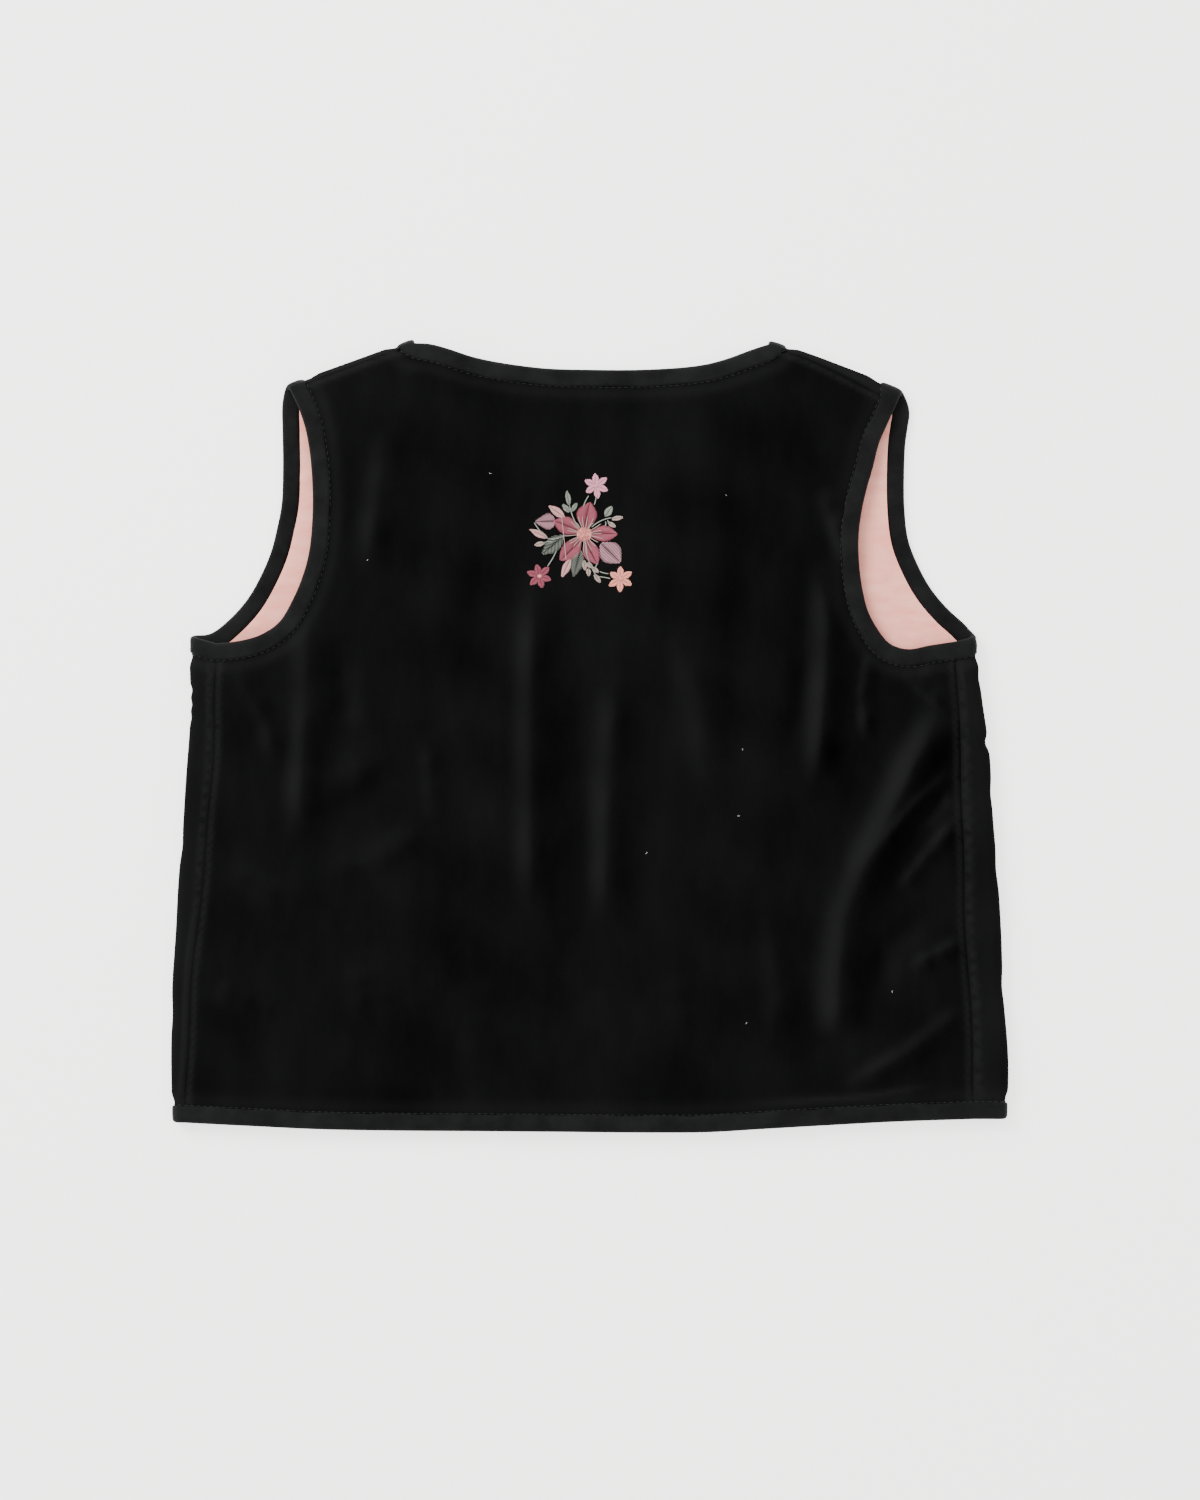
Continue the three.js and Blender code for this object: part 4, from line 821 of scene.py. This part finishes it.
# ---------------------------------------------------------------- bindings
SECTION = [(8.0, 1.12), (7.86, 0.55), (7.45, 0.2), (6.6, 0.03), (4.6, 0.0), (2.6, 0.02), (1.3, 0.16), (0.55, 0.55), (0.12, 1.15),
           (0.0, 1.8), (0.12, 2.45), (0.55, 3.05), (1.3, 3.44), (2.6, 3.58), (4.6, 3.6), (6.6, 3.57), (7.45, 3.4), (7.86, 3.1), (8.0, 2.6),
           (6.2, 2.62), (3.4, 2.62), (1.35, 2.5), (0.95, 2.1), (0.95, 1.5), (1.35, 1.1), (3.4, 0.98), (6.2, 0.98)]
SEC = np.array(SECTION)


def via_side(s):
    return lambda x, y: (s * (2 * (foldX(s, y) - FOLD_R) + math.pi * ARC_R - s * x), y)


def via_shoulder(s):
    return lambda x, y: (x, 2 * (foldY(s, np.abs(x)) - FOLD_R) + math.pi * ARC_R - y)


def as_is(x, y):
    return x, y


def trim(p, a, b):
    seg = np.concatenate([[0], np.cumsum(np.hypot(*(p[1:] - p[:-1]).T))])
    lo, hi = a, seg[-1] - b
    mid = p[(seg > lo + 0.4) & (seg < hi - 0.4)]
    at = lambda v: np.array([np.interp(v, seg, p[:, 0]), np.interp(v, seg, p[:, 1])])
    return np.vstack([at(lo), mid, at(hi)])


def unit(v):
    v = np.asarray(v, float)
    return v / np.hypot(*v)


def run(s, points, into, to_plane, start=None, end=None, fan=None):
    """Sections of a folded strip along an edge, one for each point."""
    n = normals2(points) * into
    for _ in range(3):                                   # the strip eases round its corners
        n[1:-1] = (n[:-2] + 2 * n[1:-1] + n[2:]) / 4
        n /= np.hypot(n[:, 0], n[:, 1])[:, None]
    if fan is not None:
        k = np.clip(np.concatenate([[0], np.cumsum(np.hypot(*(points[1:] - points[:-1]).T))]) / 6.0, 0, 1)[:, None]
        n = fan * (1 - k) + n * k
        n /= np.hypot(n[:, 0], n[:, 1])[:, None]
    if start is not None:
        n[0] = start
    if end is not None:
        n[-1] = end
    i = np.arange(len(points))
    pull = 1 + 0.028 * np.sin(i * 0.43 + s) + 0.010 * np.sin(i * 1.1)   # a little fullness between the stitches
    puff = 0.03 * np.sin(i * 0.9 + 0.4 * s) + 0.06 * np.sin(i * 0.61)
    X = points[:, None, 0] + n[:, None, 0] * SEC[None, :, 0] * np.where(SEC[:, 0] > 2, pull[:, None], 1)
    Y = points[:, None, 1] + n[:, None, 1] * SEC[None, :, 0] * np.where(SEC[:, 0] > 2, pull[:, None], 1)
    D = SEC[None, :, 1] + np.where((SEC[:, 1] < 0.3) & (SEC[:, 0] > 2), np.abs(puff)[:, None], 0)
    a, b = to_plane(X, Y)
    pos = fold_front(s, a, b, D)
    q = points + n * 8.35
    a, b = to_plane(q[:, 0], q[:, 1])
    return pos, fold_front(s, a, b, np.full(len(q), 0.95))


def strip(name, runs, closed, flips=()):
    pos = np.vstack([r[0] for r in runs])
    way = np.vstack([r[1] for r in runs])
    n, m = len(pos), len(SEC)
    v = pos.reshape(-1, 3)
    faces = []
    for i in range(n if closed else n - 1):
        j = (i + 1) % n
        for k in range(m):
            l = (k + 1) % m
            a, b, c, d = i * m + k, i * m + l, j * m + l, j * m + k
            faces += [(a, b, c), (a, c, d)]
    if not closed:                                       # the two ends of the U
        half = [(0, 26, 1), (26, 25, 1), (1, 25, 2), (2, 25, 3), (3, 25, 4), (4, 25, 5), (5, 25, 24), (5, 24, 6), (6, 24, 7), (7, 24, 23), (7, 23, 8),
                (8, 23, 9), (9, 23, 22), (9, 22, 10), (10, 22, 11), (11, 22, 21), (11, 21, 12), (12, 21, 13), (13, 21, 20), (13, 20, 14),
                (14, 20, 15), (15, 20, 19), (15, 19, 16), (16, 19, 17), (17, 19, 18)]
        faces += [(a, b, c) for a, b, c in half]
        o = (n - 1) * m
        faces += [(a + o, c + o, b + o) for a, b, c in half]
    faces = np.array(faces)
    if volume(v, faces) < 0:
        faces = faces[:, [0, 2, 1]]
    return make(name, v, faces, binding_mat, 70), way


def armhole_strip(s, name):
    up = armhole_back(s, STEP)
    low = trim(up[up[:, 1] < ZONE], 0.4, 0)
    high = trim(up[up[:, 1] >= ZONE], 0, 0.4)
    down = trim(armhole_front(s, STEP), 0.4, 0.4)
    return strip(name, [run(s, high, s, via_shoulder(s)), run(s, down, -s, as_is), run(s, low, s, via_side(s))], True)


def miter(t1, t2, into):
    n1, n2 = np.array([-t1[1], t1[0]]) * into, np.array([-t2[1], t2[0]]) * into
    return (n1 + n2) / (1 + n1 @ n2)


def corners(s):
    neck, cf, hem = neck_front(s, 30), centre_front(s, 62), hem_front(s, 30)
    return (miter(unit(cf[1] - cf[0]), unit(neck[1] - neck[0]), -s), miter(unit(hem[0] - hem[1]), unit(cf[1] - cf[0]), -s))


def neck_half(s):
    full = neck_back(STEP)
    half = full if s > 0 else full[::-1]
    half = trim(half[s * half[:, 0] > 1.2], 0.4, 0)
    head = unit([s * 10, float(back_shoulder_seam(s, NECK_TIP[s] + 10) - back_shoulder_seam(s, NECK_TIP[s]))])
    low = unit([s * 10, float(front_shoulder_seam(s, NECK_TIP[s] + 10) - front_shoulder_seam(s, NECK_TIP[s]))])
    a = run(s, trim(neck_front(s, STEP), SEAM, 0.4), -s, as_is, start=corners(s)[0], end=low)
    b = run(s, half, s, via_shoulder(s), fan=head)
    return [a, b]


def hem_half(s):
    full = spaced(HEM, STEP)
    half = full if s < 0 else full[::-1]
    half = trim(half[s * half[:, 0] > 1.2], 0.4, 0)
    return [run(s, trim(hem_front(s, STEP), SEAM, 0.4), s, as_is, start=corners(s)[1]), run(s, half, -s, via_side(s))]


turned = lambda runs: [(a[::-1], b[::-1]) for a, b in runs[::-1]]
bind = {}
bind["binding_armhole_left"] = armhole_strip(-1, "strip_armhole_left")
bind["binding_armhole_right"] = armhole_strip(1, "strip_armhole_right")
bind["binding_neck"] = strip("strip_neck", neck_half(1) + turned(neck_half(-1)), False)
bind["binding_hem"] = strip("strip_hem", hem_half(-1) + turned(hem_half(1)), False)
for s, word in ((-1, "left"), (1, "right")):
    v_end, low_end = corners(s)
    bind["binding_front_" + word] = strip("strip_front_" + word, [run(s, trim(centre_front(s, STEP), SEAM, SEAM), -s, as_is, start=low_end, end=v_end)], False)


# ---------------------------------------------------------------- thread
def stitch(A, B, width, high, arch, parts=4, z=None, round_=0.0):
    """One laid stitch: a closed four-sided thread from A to B, lying on the back."""
    A, B = np.asarray(A, float), np.asarray(B, float)
    t = np.linspace(0, 1, parts + 1)
    c = A + (B - A) * t[:, None]
    d = unit(B - A)
    n = np.array([-d[1], d[0]])
    w = width / 2 * np.clip(1 - np.abs(2 * t - 1) ** 6 * 0.55, 0.3, 1)
    z0 = surface(c[:, 0], c[:, 1]) + arch * (1 - (2 * t - 1) ** 2)
    L, R = c + n * w[:, None], c - n * w[:, None]
    rows = np.stack([np.column_stack([L, z0 - 0.02]), np.column_stack([c, z0 + high]), np.column_stack([R, z0 - 0.02]),
                     np.column_stack([c, z0 - high * 0.8])], 1)
    return rows


def rope(points, radius, sides=5, lift_=0.15):
    p = np.asarray(points, float)
    z = surface(p[:, 0], p[:, 1]) + lift_ if p.shape[1] == 2 else p[:, 2]
    q = np.column_stack([p[:, 0], p[:, 1], z])
    d = np.gradient(q, axis=0)
    d /= np.linalg.norm(d, axis=1)[:, None]
    side = np.cross(d, [0, 0, 1.0])
    side /= np.maximum(np.linalg.norm(side, axis=1), 1e-9)[:, None]
    up = np.cross(side, d)
    a = np.arange(sides) / sides * 2 * math.pi
    r = np.full(len(q), radius)
    r[0] = r[-1] = radius * 0.5
    return q[:, None] + (side[:, None] * np.cos(a)[None, :, None] + up[:, None] * np.sin(a)[None, :, None]) * r[:, None, None]


def solid(rows_list):
    vs, fs, at = [], [], 0
    for rows in rows_list:
        n, m = rows.shape[:2]
        vs.append(rows.reshape(-1, 3))
        for i in range(n - 1):
            for k in range(m):
                l = (k + 1) % m
                a, b, c, d = at + i * m + k, at + i * m + l, at + (i + 1) * m + l, at + (i + 1) * m + k
                fs.append((a, d, c, b))
        fs.append(tuple(at + k for k in range(m)))
        fs.append(tuple(at + (n - 1) * m + k for k in range(m))[::-1])
        at += n * m
    return np.vstack(vs), fs


def surface(x, y):
    return TOP + lift(x, y) + 0.05


def quad(p0, p1, p2, n=14):
    t = np.linspace(0, 1, n)[:, None]
    return (1 - t) ** 2 * np.array(p0, float) + 2 * t * (1 - t) * np.array(p1, float) + t * t * np.array(p2, float)


def petal(base, tip, width, peak=0.44, slant=38.0, pitch=0.36, blunt=1.4, arch=0.42, bend=0.0, vein=True, open_=False):
    """Satin stitches either side of a leaf's or petal's middle line."""
    base, tip = np.array(base, float), np.array(tip, float)
    L = np.hypot(*(tip - base))
    d = (tip - base) / L
    n = np.array([-d[1], d[0]])
    k = np.linspace(0, 1, 61)
    prof = np.where(k < peak, np.sin(k / peak * math.pi / 2) ** 0.8, np.cos((k - peak) / (1 - peak) * math.pi / 2) ** blunt)
    prof = prof * width / 2
    mid = lambda t: base + d * (t * L) + n * (bend * math.sin(t * math.pi))
    res = []
    step = pitch / math.cos(math.radians(slant)) / L if L > 0 else 1
    ts = np.arange(-0.30, 1.0, step)
    tan = math.tan(math.radians(slant))
    for side in (1, -1):
        for t in ts:
            # from the middle line out and forward until the outline is met
            o = np.linspace(0, width / 2 * 1.05, 40)
            tt = t + o * tan / L
            inside = (tt >= 0) & (tt <= 1) & (o <= np.interp(tt, k, prof))
            if inside.sum() < 2:
                continue
            a, b = o[inside][0], o[inside][-1]
            if b - a < 0.3:
                continue
            a = a + (0.05 if vein else 0.0)
            b = b + rng.uniform(-0.10, 0.10)
            P = mid(np.clip(t + a * tan / L, 0, 1)) + n * side * a
            Q = mid(np.clip(t + b * tan / L, 0, 1)) + n * side * b
            res.append(stitch(P, Q, pitch * (0.50 if open_ else 1.2), 0.20, arch * min(1, (b - a) / 3), parts=4))
    return res


def disc(c, r, pitch=0.4):
    res = []
    for i, x in enumerate(np.arange(-r + 0.2, r - 0.15, pitch)):
        h = math.sqrt(max(r * r - x * x, 0.02)) + rng.uniform(-0.12, 0.12)
        res.append(stitch((c[0] + x, c[1] - h), (c[0] + x + 0.15, c[1] + h), pitch * 1.15, 0.22, 0.7, parts=6))
    return res


def curls(c, r, count):
    res = []
    for i in range(count):
        a = i * 2.399963
        rr = r * math.sqrt((i + 0.5) / count) * 0.92
        x, y = c[0] + rr * math.cos(a), c[1] + rr * math.sin(a)
        t = np.linspace(0, 1.7 * math.pi, 9) + a
        pts = np.column_stack([x + 0.48 * np.cos(t), y + 0.48 * np.sin(t)])
        z = surface(pts[:, 0], pts[:, 1]) + 0.95 + 0.25 * np.sin(t)
        res.append(rope(np.column_stack([pts, z]), 0.2, 4))
    return res


def star(c, r, turn, petals=6, width=3.0):
    res = []
    for i in range(petals):
        a = math.radians(turn + i * 360 / petals) + rng.uniform(-0.05, 0.05)
        L = r * rng.uniform(0.95, 1.05)
        d = np.array([math.cos(a), math.sin(a)])
        res += petal(np.array(c) + d * 0.5, np.array(c) + d * L, width, peak=0.52, slant=32, pitch=0.34, blunt=1.15, arch=0.6, vein=False)
    return res


C = (-2.5, 94.9)
groups = {k: [] for k in ("rose", "blush", "petal_pink", "peach", "sage", "leaf", "ecru", "heart", "lightpink", "curl")}
# five rose petals round the heart of the main flower
for tip, w, bend in (((0.3, 110.4), 9.8, 0.5), ((13.4, 94.8), 7.8, 0.4), ((3.9, 80.4), 7.8, -0.5), ((-14.2, 82.2), 8.6, 0.5), ((-17.2, 101.2), 8.6, -0.4)):
    t, c = np.array(tip), np.array(C)
    d = unit(t - c)
    groups["rose"] += petal(c + d * 2.4, t, w, peak=0.52, slant=34, pitch=0.38, blunt=0.95, bend=bend)
groups["blush"] += petal((-16.0, 100.9), (-26.3, 100.6), 8.0, peak=0.30, slant=30, pitch=0.5, blunt=1.3, open_=True)
groups["blush"] += petal((5.2, 90.6), (15.0, 81.0), 10.8, peak=0.48, slant=20, pitch=0.6, blunt=1.1, open_=True)
groups["leaf"] += petal((-11.6, 102.6), (-19.9, 108.8), 4.1, slant=30)
groups["leaf"] += petal((-19.6, 92.9), (-29.0, 97.4), 3.3, slant=28)
groups["leaf"] += petal((-8.9, 83.4), (-13.5, 73.6), 3.8, slant=30)
groups["sage"] += petal((-12.2, 94.2), (-23.2, 84.4), 7.4, slant=42, pitch=0.66, open_=True)
groups["sage"] += petal((-4.2, 87.8), (-7.8, 73.8), 6.4, slant=46, pitch=0.66, open_=True)
groups["sage"] += petal((-9.5, 108.2), (-10.9, 116.5), 2.5, slant=24)
groups["sage"] += petal((-9.2, 105.0), (-13.3, 109.6), 2.6, slant=24)
groups["sage"] += petal((-8.5, 105.4), (-5.5, 110.4), 2.2, slant=24)
groups["sage"] += petal((7.3, 103.2), (11.0, 108.6), 3.6, slant=28)
groups["ecru"] += petal((9.9, 101.9), (16.9, 103.0), 2.2, slant=26)
groups["ecru"] += petal((8.6, 100.6), (13.0, 97.6), 2.2, slant=26)
groups["ecru"] += petal((-21.0, 90.7), (-26.6, 89.4), 2.4, slant=26)
for b, t in (((-2.7, 83.0), (-1.9, 76.8)), ((-0.6, 78.8), (-0.3, 74.4)), ((1.0, 79.2), (4.9, 76.4)), ((2.0, 76.2), (5.7, 71.2)), ((-1.4, 81.4), (2.0, 78.6))):
    groups["ecru"] += petal(b, t, 2.3, slant=26)
groups["lightpink"] += star((3.1, 117.8), 6.4, 96, width=3.15)
groups["rose"] += star((-23.5, 75.0), 6.4, 103, width=3.15)
groups["peach"] += star((14.5, 73.7), 6.4, 90, width=3.15)
groups["heart"] += disc(C, 3.55)
groups["curl"] += curls(C, 3.4, 13)
groups["heart"] += disc((-23.5, 75.0), 1.0, 0.36)
groups["lightpink"] += disc((3.1, 117.8), 0.9, 0.36)
groups["peach"] += disc((14.5, 73.7), 0.9, 0.36)
# stamens, stems and one thread carried over
for i in range(23):
    a = math.radians(i * 360 / 23 + rng.uniform(-5, 5))
    r0, r1 = 3.3, rng.uniform(6.2, 9.4)
    side = rng.uniform(-0.5, 0.5)
    P0 = np.array([C[0] + r0 * math.cos(a), C[1] + r0 * math.sin(a)])
    P2 = np.array([C[0] + r1 * math.cos(a), C[1] + r1 * math.sin(a)])
    P1 = (P0 + P2) / 2 + np.array([-math.sin(a), math.cos(a)]) * side
    groups["ecru"].append(rope(quad(P0, P1, P2, 10), 0.15, 5, 0.75))
for p0, p1, p2 in (((-4.9, 97.8), (-8.0, 101.5), (-9.5, 108.6)), ((1.0, 98.2), (4.6, 101.8), (10.3, 102.6)), ((-0.4, 113.1), (-1.9, 111.0), (-2.9, 108.0)),
                   ((3.1, 112.6), (3.0, 111.0), (2.2, 108.8)), ((-15.7, 86.8), (-17.0, 83.4), (-19.8, 79.6)), ((4.9, 77.2), (6.6, 76.3), (8.9, 76.2)),
                   ((4.2, 74.8), (6.8, 74.6), (9.7, 73.9)), ((-26.0, 100.2), (-23.6, 96.0), (-19.4, 92.6)), ((-19.6, 92.7), (-16.0, 91.8), (-11.2, 94.4)),
                   ((-21.2, 90.8), (-19.4, 91.6), (-17.6, 91.0)), ((-2.2, 91.0), (-2.0, 84.0), (3.2, 75.0)), ((3.6, 81.0), (3.0, 79.4), (2.2, 78.6)),
                   ((7.4, 100.9), (7.9, 99.8), (7.4, 98.6)), ((8.4, 101.5), (9.0, 100.4), (9.3, 99.4))):
    groups["sage"].append(rope(quad(p0, p1, p2, 16), 0.24, 5, 0.45))
groups["ecru"].append(rope(quad((-13.1, 102.6), (-12.0, 93.2), (-11.0, 82.6), 22), 0.15, 5, 0.85))
colours = {"rose": (152, 82, 96), "blush": (226, 176, 188), "petal_pink": (214, 150, 166), "peach": (238, 162, 146), "sage": (138, 144, 134),
           "leaf": (208, 160, 158), "ecru": (180, 160, 150), "heart": (232, 162, 152), "lightpink": (222, 158, 178), "curl": (196, 116, 112)}
embroidery = []
for word, rows in groups.items():
    if rows:
        v, f = solid(rows)
        embroidery.append(make("thread_" + word, v, f, thread_mat("thread_" + word, colours[word]), 50))

# stitches in the ditch beside each binding
stitching = {}
for node, (ob, way) in bind.items():
    seg = np.concatenate([[0], np.cumsum(np.linalg.norm(way[1:] - way[:-1], axis=1))])
    rows = []
    for a in np.arange(1.0, seg[-1] - 3.0, 3.0):
        at = np.linspace(a, a + 2.1, 3)
        q = np.column_stack([np.interp(at, seg, way[:, i]) for i in range(3)])
        if np.linalg.norm(q[2] - q[0]) < 1.2:
            continue
        d = q[2] - q[0]
        side = np.cross(d, [0, 0, 1.0])
        L = np.linalg.norm(side)
        if L < 1e-6:
            continue
        side = side / L
        up = np.cross(side, d / np.linalg.norm(d))
        r = np.array([0.1, 0.2, 0.1])[:, None]
        q[1] += up * 0.1 * (1 if q[1, 2] > 5 else -1)
        rows.append(np.stack([q + side * r, q + up * r, q - side * r, q - up * r], 1))
    v, f = solid(rows)
    stitching[node] = make("stitches_" + node, v, f, stitch_mat)

# a few specks of lint on the pile
rows = []
for _ in range(11):
    x, y = rng.uniform(-150, 150), rng.uniform(-160, 150)
    if abs(x + 3) < 34 and abs(y - 95) < 34 or (y > 40 and abs(x) > 118):
        continue
    a, L = rng.uniform(0, math.pi), rng.uniform(0.5, 1.6)
    d = np.array([math.cos(a), math.sin(a)])
    rows.append(rope(quad(np.array([x, y]), np.array([x, y]) + d * L * 0.5 + rng.uniform(-0.4, 0.4, 2), np.array([x, y]) + d * L, 6), 0.09, 4, 0.12))
v, f = solid(rows)
lint = make("lint", v, f, thread_mat("lint", (215, 215, 218)))

# ---------------------------------------------------------------- the object
for node, (ob, area, span) in sheets.items():
    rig.ride(ob, "root")
    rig.replaces(ob, node)
    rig.slot(ob, "lining" if node.startswith("lining") else "velvet")
for node, (ob, way) in bind.items():
    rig.ride(ob, "root")
    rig.replaces(ob, node)
    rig.slot(ob, "binding")
    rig.ride(stitching[node], "root")
for ob in embroidery + [lint]:
    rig.ride(ob, "root")

floor_me = bpy.data.meshes.new("floor")
floor_me.from_pydata([(-6, -6, -0.0001), (6, -6, -0.0001), (6, 6, -0.0001), (-6, 6, -0.0001)], [], [(0, 1, 2, 3)])
floor = bpy.data.objects.new("floor", floor_me)
bpy.context.scene.collection.objects.link(floor)
fm = bpy.data.materials.new("floor")
fm.use_nodes = True
fm.node_tree.nodes["Principled BSDF"].inputs["Base Color"].default_value = (0.90, 0.897, 0.887, 1)
fm.node_tree.nodes["Principled BSDF"].inputs["Roughness"].default_value = 0.9
fm.node_tree.nodes["Principled BSDF"].inputs["Specular IOR Level"].default_value = 0.1
fm.node_tree.nodes["Principled BSDF"].inputs["Emission Color"].default_value = (1.0, 0.995, 0.985, 1)
fm.node_tree.nodes["Principled BSDF"].inputs["Emission Strength"].default_value = 1.9
floor_me.materials.append(fm)
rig.stage(floor)

names = {n: sheets[n][0] for n in sheets}
with_back = [bind["binding_neck"][0], bind["binding_hem"][0], bind["binding_armhole_left"][0], bind["binding_armhole_right"][0],
             stitching["binding_neck"], stitching["binding_hem"], stitching["binding_armhole_left"], stitching["binding_armhole_right"]] + embroidery + [lint]
groups_of = {"back_panel": with_back, "front_left": [bind["binding_front_left"][0], stitching["binding_front_left"]],
             "front_right": [bind["binding_front_right"][0], stitching["binding_front_right"]], "lining_front_left": [], "lining_front_right": []}
rest = {"back_panel": [names["lining_front_left"], names["lining_front_right"]], "front_left": ["floor"], "front_right": ["floor"],
        "lining_front_left": [names["front_left"]], "lining_front_right": [names["front_right"]]}
for node, (ob, area, span) in sheets.items():
    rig.sheet(ob, flat=span, held="laid", rests_on=rest[node], area=area, with_pieces=groups_of[node])

# ---------------------------------------------------------------- light
def area_light(name, place, target, size, power, colour=(1, 1, 1)):
    data = bpy.data.lights.new(name, "AREA")
    data.shape = "SQUARE"
    data.size = size
    data.energy = power
    data.color = colour
    ob = bpy.data.objects.new(name, data)
    bpy.context.scene.collection.objects.link(ob)
    ob.location = place
    d = np.array(target, float) - np.array(place, float)
    ob.rotation_euler = Vector(d).to_track_quat("-Z", "Y").to_euler()
    return ob


area_light("key", (-1.25, 1.15, 1.35), (0, 0, 0), 1.1, 62.0)
world = bpy.data.worlds.new("studio")
bpy.context.scene.world = world
world.use_nodes = True
world.node_tree.nodes["Background"].inputs["Color"].default_value = (1.0, 0.995, 0.985, 1)
world.node_tree.nodes["Background"].inputs["Strength"].default_value = 1.5

size_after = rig.bounds()
with open("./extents.json", "w") as out_file:
    json.dump({"before": [list(map(float, c)) for c in size_before], "after": [list(map(float, c)) for c in size_after]}, out_file)
for ob in bpy.context.scene.objects:
    if ob.type == "MESH" and ob.name.startswith(("cloth", "strip", "thread", "stitches", "lint")):
        print("PIECE", ob.name, len(ob.data.loops) - 2 * len(ob.data.polygons))
for node, (ob, area, span) in sheets.items():
    print("SHEET", node, [round(v, 4) for v in span], round(area, 5), round(area / (span[0] * span[1]), 3))
